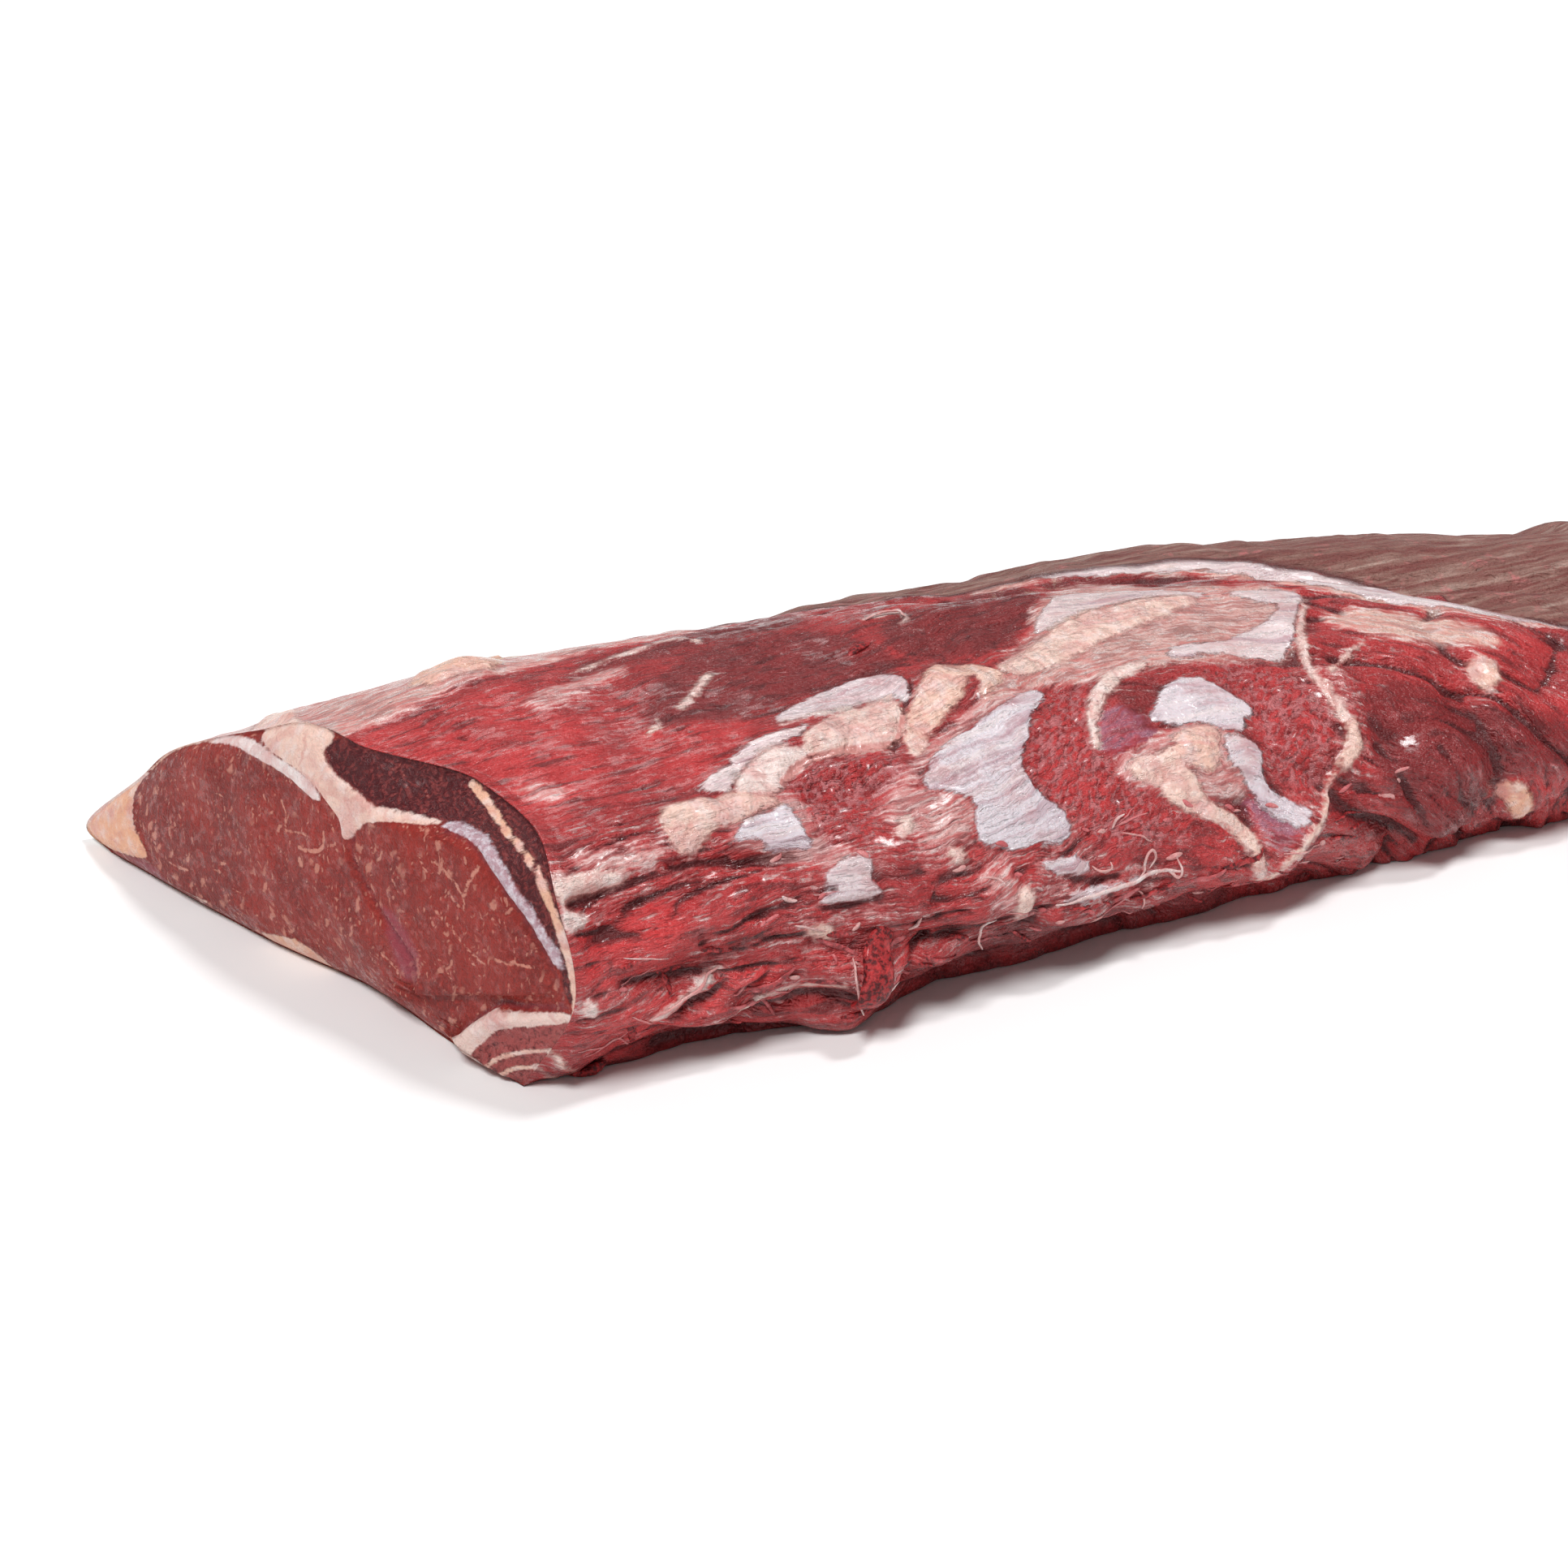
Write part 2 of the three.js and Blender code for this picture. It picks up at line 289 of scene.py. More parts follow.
def insidePixels(pictures, pixels):
    inside = np.zeros(len(pictures), bool)
    x, y = pictures[:, 0], pictures[:, 1]
    for (ax, ay), (bx, by) in zip(pixels, list(pixels[1:]) + [pixels[0]]):
        crosses = (ay > y) != (by > y)
        rise = by - ay if by != ay else 1e-9
        inside ^= crosses & (x < (bx - ax) * (y - ay) / rise + ax)
    return inside


farAway = 14.0  # mm, where distances to an outline stop counting


def distanceToLine(points, path, closed):
    # shortest distance from each point to a path of points, stopping at farAway
    distance = np.full(len(points), farAway)
    path = np.array(path)
    low = path.min(0) - farAway
    high = path.max(0) + farAway
    near = np.flatnonzero(((points > low) & (points < high)).all(1))
    ends = np.roll(path, -1, 0) if closed else path[1:]
    some = points[near]
    for a, b in zip(path, ends):
        run = b - a
        share = np.clip((some - a) @ run / max(run @ run, 1e-9), 0, 1)
        gap = np.linalg.norm(some - a - share[:, None] * run, axis=1)
        distance[near] = np.minimum(distance[near], gap)
    return distance


class Patches:
    # signed distances in mm to named outlines on one stretch of surface, above 0 inside
    def __init__(self, points, pictures, seen, lay):
        self.points = points
        self.pictures = pictures
        self.seen = seen
        self.lay = lay

    def patch(self, pixels):
        pixels = rounded(pixels, True)
        path = [self.lay(pixel) for pixel in subdivided(pixels, True)]
        distance = distanceToLine(self.points, path, True)
        inside = insidePixels(self.pictures, pixels) & self.seen
        return np.where(inside, distance, -distance)

    def stroke(self, pixels, width):
        path = [self.lay(pixel) for pixel in subdivided(rounded(pixels, False), False)]
        return width / 2 - distanceToLine(self.points, path, False)

    def gather(self, outlines, strokes=()):
        # the highest distance of all outlines, and the tint of the one that it belongs to
        best = np.full(len(self.points), -farAway)
        tint = np.zeros(len(self.points))
        made = [(self.patch(outline["pixels"]), outline.get("tint", 0)) for outline in outlines]
        made += [(self.stroke(line["pixels"], line["width"]), line.get("tint", 0)) for line in strokes]
        for distance, ownTint in made:
            better = distance > best
            best = np.where(better, distance, best)
            tint = np.where(better, ownTint, tint)
        return best, tint


# Thick fat on the skin. Tint 0 is white, 0.5 cream and 1 yellowish.
skinFat = [
    {"name": "fat of the shelf", "tint": 0.4, "pixels": [
        (1008, 899), (1044, 878), (1080, 865), (1110, 869), (1120, 889), (1116, 904), (1095, 920),
        (1064, 925), (1034, 930), (1003, 933), (985, 925), (990, 908)]},
    {"name": "end of the shelf", "tint": 0.2, "pixels": [
        (985, 925), (1003, 933), (988, 948), (968, 955), (962, 976), (942, 978), (917, 981), (906, 976),
        (905, 958), (930, 935), (955, 922)]},
    {"name": "heap below the shelf", "tint": 0.5, "pixels": [
        (807, 1011), (816, 996), (840, 996), (860, 986), (881, 991), (891, 981), (911, 976), (965, 976),
        (965, 991), (942, 996), (922, 1006), (901, 1016), (886, 1016), (871, 1027), (860, 1047),
        (840, 1052), (824, 1031)]},
    {"name": "island on the slope", "tint": 0.6, "pixels": [
        (1118, 879), (1136, 843), (1146, 820), (1172, 823), (1207, 823), (1228, 830), (1238, 838),
        (1228, 848), (1215, 863), (1205, 863), (1207, 843), (1192, 838), (1182, 869), (1167, 879),
        (1146, 904), (1136, 927), (1116, 904)]},
    {"name": "drop below the island", "tint": 0.5, "pixels": [
        (1113, 899), (1136, 904), (1140, 927), (1126, 932), (1116, 914)]},
    {"name": "lobes above the island", "tint": 0.45, "pixels": [
        (1243, 818), (1263, 797), (1299, 772), (1330, 756), (1376, 746), (1422, 736), (1468, 733),
        (1478, 741), (1442, 756), (1432, 761), (1391, 777), (1355, 792), (1330, 807), (1289, 823),
        (1263, 830), (1233, 832), (1226, 823)]},
    {"name": "upper patch by the rim", "tint": 0.3, "pixels": [
        (678, 1080), (703, 1075), (742, 1077), (777, 1073), (780, 1083), (742, 1094), (713, 1104),
        (697, 1119), (683, 1104)]},
    {"name": "lower patch by the rim", "tint": 0.15, "pixels": [
        (690, 1126), (698, 1117), (718, 1120), (728, 1131), (718, 1146), (703, 1154), (698, 1149)]},
    {"name": "dab above the corner", "tint": 0.2, "pixels": [
        (718, 1234), (732, 1234), (740, 1246), (733, 1258), (720, 1252)]},
    {"name": "knots", "tint": 0.6, "pixels": [
        (1442, 914), (1462, 897), (1488, 894), (1503, 904), (1498, 925), (1503, 945), (1488, 955),
        (1462, 945), (1447, 935)]},
    {"name": "seam below the knots", "tint": 0.45, "pixels": [
        (1390, 945), (1415, 930), (1442, 918), (1452, 940), (1473, 955), (1493, 991), (1519, 1001),
        (1539, 1017), (1549, 1047), (1547, 1083), (1537, 1068), (1531, 1042), (1508, 1017), (1478, 1006),
        (1442, 991), (1432, 974), (1404, 958)]},
    {"name": "arc round the purple film", "tint": 0.3, "pixels": [
        (1442, 816), (1401, 817), (1371, 823), (1350, 838), (1340, 858), (1337, 884), (1343, 914),
        (1352, 924), (1357, 905), (1350, 889), (1356, 868), (1368, 852), (1391, 827), (1417, 823),
        (1442, 823)]},
    {"name": "crumbs below the great sheet", "tint": 0.4, "pixels": [
        (1167, 1042), (1197, 1047), (1192, 1068), (1172, 1064)]},
    {"name": "crumbs beyond them", "tint": 0.35, "pixels": [
        (1100, 1022), (1118, 1006), (1126, 1017), (1121, 1032), (1105, 1034)]},
    {"name": "crumbs at the foot", "tint": 0.5, "pixels": [
        (994, 1150), (1010, 1139), (1033, 1146), (1028, 1160), (1008, 1162)]},
    {"name": "rounded bit at the foot", "tint": 0.4, "pixels": [
        (1252, 1098), (1266, 1090), (1278, 1104), (1276, 1130), (1264, 1146), (1256, 1128)]},
    {"name": "pad on the far slope", "tint": 0.6, "pixels": [
        (1806, 815), (1830, 808), (1852, 825), (1850, 845), (1830, 852), (1812, 838)]},
    {"name": "waxy end", "tint": 0.9, "pixels": [
        (1848, 966), (1866, 958), (1884, 974), (1880, 996), (1864, 1004), (1852, 990)]},
    {"name": "yellow lump on the crest", "tint": 0.75, "pixels": [
        (500, 846), (530, 828), (570, 815), (622, 809), (614, 824), (575, 836), (530, 850)]},
    {"name": "rim above the cut end", "tint": 0.55, "pixels": [
        (300, 905), (331, 886), (352, 880), (372, 888), (405, 902), (426, 907), (404, 932), (375, 930),
        (345, 912)]},
]
skinFatLines = [
    {"name": "seam round the last muscle", "tint": 0.3, "width": 2.8, "pixels": [
        (1607, 746), (1600, 783), (1609, 820), (1630, 847), (1652, 879), (1668, 905)]},
    {"name": "thick stretch of that seam", "tint": 0.5, "width": 5.0, "pixels": [
        (1662, 893), (1668, 918), (1658, 942)]},
    {"name": "lower stretch of that seam", "tint": 0.5, "width": 2.2, "pixels": [
        (1650, 953), (1641, 980), (1620, 1011), (1583, 1043), (1556, 1070), (1545, 1092)]},
    {"name": "branch of that seam", "tint": 0.4, "width": 1.0, "pixels": [
        (1636, 831), (1662, 804), (1678, 794)]},
    {"name": "rib across the shelf", "tint": 0.2, "width": 1.4, "pixels": [
        (964, 896), (1003, 886), (1050, 874), (1097, 864)]},
    {"name": "lip of the loose sheet", "tint": 0.2, "width": 1.0, "pixels": [
        (800, 1254), (830, 1240), (870, 1220), (893, 1204)]},
    {"name": "second lip", "tint": 0.4, "width": 1.0, "pixels": [
        (828, 1268), (868, 1257), (915, 1243), (962, 1223), (1006, 1217), (1040, 1208)]},
    {"name": "outer arc round the corner", "tint": 0.6, "width": 1.4, "pixels": [
        (664, 1292), (680, 1296), (696, 1306), (708, 1320)]},
    {"name": "inner arc round the corner", "tint": 0.6, "width": 1.3, "pixels": [
        (655, 1314), (668, 1317), (680, 1325), (687, 1336)]},
    {"name": "dash on the top", "tint": 0.3, "width": 2.0, "pixels": [
        (838, 872), (852, 858), (872, 832)]},
    {"name": "second dash on the top", "tint": 0.4, "width": 1.2, "pixels": [(800, 900), (812, 886)]},
    {"name": "curl on the top", "tint": 0.2, "width": 1.4, "pixels": [
        (1064, 764), (1082, 758), (1106, 753), (1118, 760), (1112, 768)]},
    {"name": "rim of the dark band", "tint": 0.3, "width": 1.2, "pixels": [
        (707, 824), (760, 806), (830, 786), (862, 790)]},
]
# Silverskin. Tint 0 is bluish, 1 is pinkish.
skinSilver = [
    {"name": "shelf top", "tint": 0.5, "pixels": [
        (950, 889), (993, 863), (1034, 843), (1070, 834), (1100, 834), (1118, 843), (1120, 866),
        (1105, 866), (1080, 864), (1044, 876), (1008, 888), (973, 894)]},
    {"name": "shelf end", "tint": 0.75, "pixels": [
        (858, 972), (871, 960), (891, 948), (917, 922), (937, 912), (973, 905), (1003, 899), (990, 912),
        (960, 922), (932, 935), (906, 958), (900, 978), (871, 978)]},
    {"name": "shelf tail", "tint": 0.1, "pixels": [
        (906, 1027), (917, 1011), (957, 994), (968, 983), (988, 1014), (1011, 1042), (978, 1042),
        (957, 1045), (942, 1037), (927, 1029), (906, 1037)]},
    {"name": "foot of the shelf", "tint": 0.5, "pixels": [
        (1029, 1068), (1064, 1047), (1077, 1068), (1070, 1080), (1093, 1098), (1080, 1108), (1044, 1114),
        (1008, 1113), (1016, 1103), (1044, 1093), (1008, 1088)]},
    {"name": "great sheet", "tint": 0.15, "pixels": [
        (1146, 935), (1172, 914), (1197, 894), (1228, 874), (1263, 853), (1289, 851), (1286, 863),
        (1271, 876), (1266, 894), (1269, 909), (1256, 930), (1258, 955), (1284, 981), (1304, 991),
        (1322, 1017), (1314, 1037), (1289, 1042), (1274, 1039), (1263, 1047), (1233, 1042), (1207, 1042),
        (1197, 1022), (1202, 1000), (1192, 986), (1167, 978), (1131, 970)]},
    {"name": "upper sheet", "tint": 0.8, "pixels": [
        (1284, 751), (1304, 733), (1350, 731), (1401, 728), (1442, 726), (1498, 731), (1473, 735),
        (1422, 737), (1376, 745), (1330, 757), (1294, 774), (1269, 782)]},
    {"name": "upper sheet beyond", "tint": 0.65, "pixels": [
        (1498, 731), (1575, 728), (1610, 731), (1597, 756), (1587, 812), (1554, 812), (1503, 804),
        (1462, 812), (1437, 812), (1437, 800), (1493, 791), (1524, 784), (1566, 764), (1577, 746),
        (1529, 738)]},
    {"name": "domed sheet", "tint": 0.25, "pixels": [
        (1422, 869), (1437, 843), (1462, 835), (1498, 843), (1524, 858), (1547, 874), (1542, 881),
        (1529, 886), (1534, 904), (1513, 904), (1498, 897), (1478, 889), (1452, 894), (1427, 892),
        (1417, 884)]},
    {"name": "curl of the domed sheet", "tint": 0.2, "pixels": [
        (1503, 912), (1524, 906), (1544, 914), (1554, 930), (1552, 945), (1570, 976), (1595, 988),
        (1608, 1001), (1600, 1017), (1580, 1014), (1559, 996), (1539, 971), (1524, 948), (1508, 930)]},
    {"name": "scrap below the sheet", "tint": 0.3, "pixels": [
        (1281, 1062), (1299, 1057), (1330, 1055), (1348, 1068), (1340, 1078), (1314, 1080), (1294, 1073)]},
    {"name": "ridge sheet", "tint": 0.6, "pixels": [
        (1240, 712), (1293, 703), (1433, 689), (1527, 691), (1620, 705), (1713, 723), (1807, 741),
        (1940, 760), (1940, 770), (1807, 754), (1713, 738), (1620, 720), (1527, 706), (1433, 702),
        (1293, 714)]},
    {"name": "sinew at the foot", "tint": 0.4, "pixels": [
        (1309, 1112), (1328, 1099), (1352, 1095), (1400, 1086), (1440, 1072), (1400, 1094), (1352, 1108),
        (1319, 1118)]},
]
# Thin pinkish film that lets the lean show through.
skinFilm = [
    {"name": "upper band", "tint": 0.2, "pixels": [
        (1225, 828), (1250, 800), (1275, 775), (1268, 752), (1302, 725), (1355, 720), (1440, 720),
        (1524, 722), (1612, 728), (1603, 754), (1593, 778), (1587, 815), (1524, 811), (1487, 817),
        (1450, 820), (1418, 820), (1386, 828), (1355, 832), (1300, 842), (1262, 850), (1230, 868),
        (1200, 885)]},
    {"name": "film round the knots", "tint": 0.3, "pixels": [
        (1378, 935), (1425, 905), (1480, 885), (1530, 905), (1548, 950), (1530, 985), (1480, 990),
        (1420, 972), (1390, 965)]},
    {"name": "purple film", "tint": 1.0, "pixels": [
        (1352, 924), (1350, 894), (1360, 874), (1391, 868), (1406, 884), (1427, 904), (1411, 914),
        (1381, 925)]},
    {"name": "foot of the domed sheet", "tint": 1.0, "pixels": [
        (1540, 985), (1565, 985), (1600, 1008), (1580, 1038), (1560, 1045), (1548, 1010)]},
    {"name": "strands beyond the seam", "tint": 0.0, "pixels": [
        (1620, 757), (1684, 750), (1763, 761), (1843, 779), (1850, 800), (1790, 796), (1726, 790),
        (1662, 777)]},
    {"name": "crest above the cut end", "tint": 0.2, "pixels": [
        (235, 910), (300, 895), (335, 876), (400, 860), (448, 852), (508, 826), (560, 806), (640, 802),
        (751, 781), (850, 764), (920, 752), (920, 764), (850, 780), (760, 794), (690, 806), (640, 820),
        (590, 838), (540, 858), (490, 878), (440, 900), (424, 909), (395, 925), (340, 915)]},
    {"name": "beige patch", "tint": 0.3, "pixels": [
        (633, 868), (671, 848), (735, 826), (783, 817), (745, 838), (706, 854), (680, 868)]},
    {"name": "smear above the rim", "tint": 0.3, "pixels": [
        (636, 966), (675, 966), (701, 976), (687, 984), (650, 982)]},
    {"name": "left fan of the great sheet", "tint": 0.5, "pixels": [
        (1095, 981), (1116, 960), (1131, 970), (1167, 980), (1195, 990), (1200, 1016), (1197, 1042),
        (1150, 1042), (1125, 1030), (1092, 1016)]},
    {"name": "ridge", "tint": 0.0, "pixels": [
        (1180, 720), (1293, 700), (1433, 686), (1527, 690), (1620, 706), (1713, 724), (1807, 740),
        (1940, 758), (1940, 772), (1807, 758), (1713, 741), (1650, 730), (1560, 716), (1470, 706),
        (1380, 704), (1293, 712), (1200, 730)]},
    {"name": "film on the hollow", "tint": 0.7, "pixels": [
        (905, 1000), (960, 972), (985, 975), (1000, 1000), (1020, 1045), (1060, 1050), (1060, 1075),
        (1000, 1060), (940, 1050), (900, 1040)]},
    {"name": "film by the flap", "tint": 0.4, "pixels": [
        (1207, 1078), (1248, 1068), (1258, 1098), (1274, 1113), (1248, 1124), (1228, 1098)]},
    {"name": "film left of the rim patches", "tint": 0.3, "pixels": [
        (700, 1060), (760, 1050), (800, 1040), (830, 1052), (790, 1066), (730, 1072)]},
    {"name": "far side of the great sheet", "tint": 0.4, "pixels": [
        (1190, 880), (1220, 862), (1262, 848), (1289, 850), (1228, 876), (1180, 912), (1131, 948),
        (1122, 971), (1100, 968), (1120, 940)]},
]
# Crumbly, granular lean.
skinCrumb = [
    {"name": "beside the great sheet", "pixels": [
        (1275, 880), (1300, 845), (1342, 835), (1337, 880), (1345, 925), (1385, 950), (1440, 1000),
        (1500, 1020), (1440, 1040), (1360, 1050), (1325, 1010), (1262, 965), (1262, 930)]},
    {"name": "hollow under the shelf", "pixels": [
        (970, 950), (1000, 936), (1060, 926), (1110, 930), (1120, 950), (1080, 985), (1090, 1020),
        (1060, 1040), (1020, 1035), (1000, 1010), (975, 985)]},
    {"name": "left of the seam", "pixels": [
        (1460, 818), (1530, 815), (1590, 818), (1630, 870), (1655, 910), (1640, 950), (1610, 985),
        (1560, 940), (1552, 880), (1500, 838)]},
]
# Dark lean: partly the lean's own darker tone and partly painted shade in the fold, under the knots, below
# the ridge and along the undercut foot.
skinDarkAndPaintedShade = [
    {"name": "lean below the ridge", "pixels": [
        (1284, 714), (1400, 705), (1508, 712), (1508, 724), (1400, 723), (1300, 728)]},
    {"name": "lean in the upper band", "pixels": [
        (1355, 800), (1376, 787), (1411, 777), (1452, 767), (1473, 746), (1519, 738), (1564, 741),
        (1570, 756), (1519, 774), (1478, 787), (1442, 795), (1401, 810), (1381, 818), (1345, 818)]},
    {"name": "lean inside the arc", "pixels": [
        (1370, 866), (1381, 845), (1417, 830), (1437, 840), (1422, 866), (1418, 884), (1436, 904),
        (1406, 908)]},
    {"name": "lean before the band", "pixels": [
        (1080, 760), (1170, 738), (1250, 722), (1285, 730), (1270, 755), (1250, 785), (1200, 812),
        (1140, 815), (1090, 800)]},
    {"name": "back of the top", "pixels": [
        (700, 815), (780, 796), (850, 780), (930, 764), (1000, 756), (990, 768), (900, 786), (860, 796),
        (830, 800), (760, 820), (690, 842)]},
    {"name": "hatched top", "pixels": [
        (850, 800), (920, 780), (1000, 775), (1100, 800), (1110, 830), (1010, 850), (940, 880),
        (880, 885), (840, 890), (790, 890), (800, 850)]},
    {"name": "under the knots", "pixels": [
        (1478, 975), (1500, 955), (1528, 965), (1534, 985), (1505, 990)]},
    {"name": "fold", "pixels": [
        (1640, 968), (1672, 990), (1728, 1026), (1740, 1044), (1700, 1050), (1668, 1020), (1645, 1000)]},
    {"name": "last slope", "pixels": [
        (1690, 830), (1760, 850), (1850, 880), (1932, 880), (1932, 950), (1860, 950), (1800, 1020),
        (1740, 1030), (1700, 960), (1680, 900)]},
    {"name": "foot beyond the blob", "pixels": [
        (1110, 1215), (1180, 1190), (1260, 1160), (1330, 1130), (1440, 1120), (1530, 1090), (1530, 1120),
        (1440, 1155), (1340, 1170), (1250, 1210), (1120, 1235)]},
    {"name": "undercut", "pixels": [
        (770, 1300), (850, 1280), (950, 1262), (1050, 1244), (1090, 1240), (1090, 1262), (960, 1280),
        (790, 1310)]},
]
# Bright, wet lean.
skinBright = [
    {"name": "top by the cut end", "pixels": [
        (425, 915), (500, 885), (600, 850), (640, 880), (720, 880), (760, 930), (720, 985), (640, 1000),
        (560, 960), (480, 935)]},
    {"name": "below the crest", "pixels": [
        (760, 900), (860, 890), (940, 890), (900, 930), (850, 965), (780, 970)]},
    {"name": "corner roll", "pixels": [
        (720, 1260), (780, 1235), (860, 1215), (960, 1195), (970, 1215), (880, 1245), (800, 1275),
        (730, 1310)]},
    {"name": "front by the rim", "pixels": [
        (700, 1155), (760, 1130), (860, 1100), (880, 1150), (800, 1200), (720, 1225)]},
    {"name": "bead on the top", "pixels": [
        (1044, 806), (1058, 794), (1075, 792), (1072, 806), (1052, 814)]},
]
# Lean that is covered with pale smears.
skinSmear = [
    {"name": "front", "pixels": [
        (690, 1010), (800, 1000), (860, 1050), (960, 1050), (1090, 1110), (1280, 1075), (1440, 1060),
        (1500, 1075), (1440, 1140), (1250, 1170), (1090, 1210), (960, 1240), (800, 1290), (720, 1300),
        (700, 1200), (690, 1100)]},
    {"name": "between the shelf and the sheet", "pixels": [
        (1000, 960), (1100, 920), (1200, 900), (1330, 1000), (1400, 1060), (1300, 1080), (1080, 1080),
        (1000, 1040)]},
    {"name": "before the last muscle", "pixels": [
        (1560, 820), (1660, 820), (1700, 870), (1690, 950), (1640, 1010), (1560, 1080), (1500, 1060),
        (1600, 960)]},
]
# Tears and creases in the skin, as open lines.
skinTears = [
    {"name": "upper tear", "width": 2.2, "depth": 2.4, "pixels": [
        (687, 1119), (734, 1102), (783, 1088), (824, 1074), (860, 1058), (900, 1052)]},
    {"name": "lower tear", "width": 2.4, "depth": 2.4, "pixels": [
        (750, 1123), (793, 1109), (820, 1094), (864, 1078), (903, 1060), (960, 1053), (1000, 1056)]},
    {"name": "tear to the foot of the shelf", "width": 1.8, "depth": 1.8, "pixels": [
        (870, 1162), (900, 1150), (945, 1128), (985, 1117), (1040, 1120), (1090, 1104)]},
    {"name": "tear by the corner", "width": 2.0, "depth": 2.0, "pixels": [
        (775, 1276), (815, 1256), (870, 1232), (900, 1216)]},
    {"name": "long tear above the foot", "width": 2.6, "depth": 2.8, "pixels": [
        (790, 1296), (850, 1268), (920, 1250), (985, 1230), (1048, 1220)]},
    {"name": "tear under the roll", "width": 2.4, "depth": 2.6, "pixels": [
        (750, 1316), (800, 1300), (870, 1285), (950, 1268), (1040, 1256)]},
    {"name": "fold where the roast turns", "width": 3.4, "depth": 3.4, "pixels": [
        (1641, 968), (1660, 990), (1690, 1010), (1728, 1033), (1745, 1042)]},
    {"name": "fold beyond", "width": 2.6, "depth": 2.4, "pixels": [
        (1756, 1012), (1738, 980), (1722, 950), (1700, 920)]},
    {"name": "wrinkle beyond", "width": 2.0, "depth": 1.8, "pixels": [
        (1800, 1000), (1790, 960), (1770, 925)]},
    {"name": "wrinkle on the far slope", "width": 1.8, "depth": 1.4, "pixels": [
        (1850, 950), (1838, 915), (1822, 880), (1800, 850)]},
    {"name": "last wrinkle", "width": 2.0, "depth": 1.6, "pixels": [
        (1900, 960), (1888, 920), (1868, 880)]},
    {"name": "cleft below the sheet", "width": 2.0, "depth": 1.6, "pixels": [
        (1255, 1076), (1290, 1062), (1330, 1090), (1380, 1080)]},
    {"name": "edge of the lobed fat", "width": 1.2, "depth": 0.8, "pixels": [
        (1272, 812), (1312, 796), (1350, 783), (1395, 768)]},
    {"name": "gap beside the island", "width": 1.4, "depth": 1.2, "pixels": [
        (1122, 846), (1115, 870), (1108, 900), (1102, 925)]},
    {"name": "upper edge of the hollow", "width": 2.0, "depth": 2.0, "pixels": [
        (968, 960), (985, 938), (1020, 928), (1060, 920), (1095, 914)]},
    {"name": "side of the blob", "width": 2.4, "depth": 2.4, "pixels": [
        (1110, 1225), (1118, 1200), (1132, 1180), (1150, 1165)]},
    {"name": "cleft in the foot", "width": 2.0, "depth": 1.8, "pixels": [
        (1150, 1176), (1200, 1156), (1250, 1140), (1300, 1122)]},
]
# How the fibres run, as short strokes along them.
grainStrokes = [
    [(590, 932), (678, 888)], [(629, 966), (826, 991)], [(669, 1021), (802, 1050)],
    [(875, 912), (1013, 902)], [(836, 873), (875, 838)], [(925, 863), (954, 824)],
    [(1023, 824), (1062, 794)], [(1146, 814), (1220, 765)], [(688, 1119), (777, 1085)],
    [(777, 1085), (856, 1055)], [(728, 1173), (787, 1190)], [(752, 1242), (856, 1208)],
    [(816, 1247), (895, 1208)], [(856, 1257), (1058, 1223)], [(944, 991), (1008, 1040)],
    [(875, 1031), (954, 991)], [(925, 1080), (1072, 1109)], [(984, 952), (1053, 932)],
    [(998, 991), (1072, 1021)], [(1122, 952), (1215, 932)], [(1122, 981), (1215, 1001)],
    [(1215, 1001), (1309, 1021)], [(1215, 912), (1279, 848)], [(1102, 1119), (1200, 1099)],
    [(1210, 1168), (1269, 1149)], [(1269, 898), (1309, 952)], [(1440, 860), (1540, 900)],
    [(1240, 812), (1383, 780)], [(1383, 780), (1590, 760)], [(1680, 840), (1750, 930)],
    [(1700, 900), (1770, 1000)], [(1830, 800), (1890, 880)], [(1560, 1090), (1690, 1046)],
    [(1620, 770), (1740, 782)], [(1740, 782), (1840, 800)], [(1307, 1115), (1440, 1080)],
    [(1440, 960), (1540, 1010)], [(760, 830), (880, 800)], [(500, 870), (620, 830)],
    [(650, 840), (760, 812)], [(560, 905), (640, 870)], [(1600, 860), (1640, 930)],
]

skinPatches = Patches(flatSkin, skinPicture, facesEye, laySkin)
fat, fatTint = skinPatches.gather(skinFat, skinFatLines)
silver, silverTint = skinPatches.gather(skinSilver)
film, filmTint = skinPatches.gather(skinFilm)
crumb = skinPatches.gather(skinCrumb)[0]
dark = skinPatches.gather(skinDarkAndPaintedShade)[0]
bright = skinPatches.gather(skinBright)[0]
smeared = skinPatches.gather(skinSmear)[0]
print("patches laid on the skin")


# The far side: a dry fat cap with lean showing through, and the dry back lobe

farSide = {
    "lobeEdge": [
        (1010, 750), (1060, 744), (1110, 738), (1170, 730), (1240, 718), (1300, 708), (1370, 698),
        (1433, 691), (1527, 692), (1620, 704), (1713, 722), (1807, 740), (1920, 762)],  # in pixels
    "lobeFrom": 2.35,  # place along where it starts to show
    "capStart": 4.75,
}


def nearestVertex(point):
    return np.argmin(((flatSkin - point) ** 2).sum(1))


edgeVertices = np.array([nearestVertex(laySkin(pixel)) for pixel in farSide["lobeEdge"]])
edgeVertices = edgeVertices[np.argsort(placeOf[edgeVertices], kind="stable")]
lobeStart = np.interp(placeOf, placeOf[edgeVertices], guideOf[edgeVertices])
lobePlace = placeOf + 0.35 * roughNoise(flatSkin, 26, 5)
lobe = 10 * np.minimum(smooth(lobeStart - 0.12, lobeStart + 0.12, guideOf + 0.05 * noise(flatSkin, 14, 6)),
                       smooth(farSide["lobeFrom"] - 0.5, farSide["lobeFrom"] + 0.5, lobePlace)) - 5
cap = 5 * smooth(farSide["capStart"] - 0.15, farSide["capStart"] + 0.25, guideOf) - 2.5
cap = np.where(facesEye, np.minimum(cap, -1.0), cap)


# The grain: two smooth measures over the skin, one along the fibres and one across them

grainMap = {"step": 4.0, "reach": 24.0, "plain": 0.02}


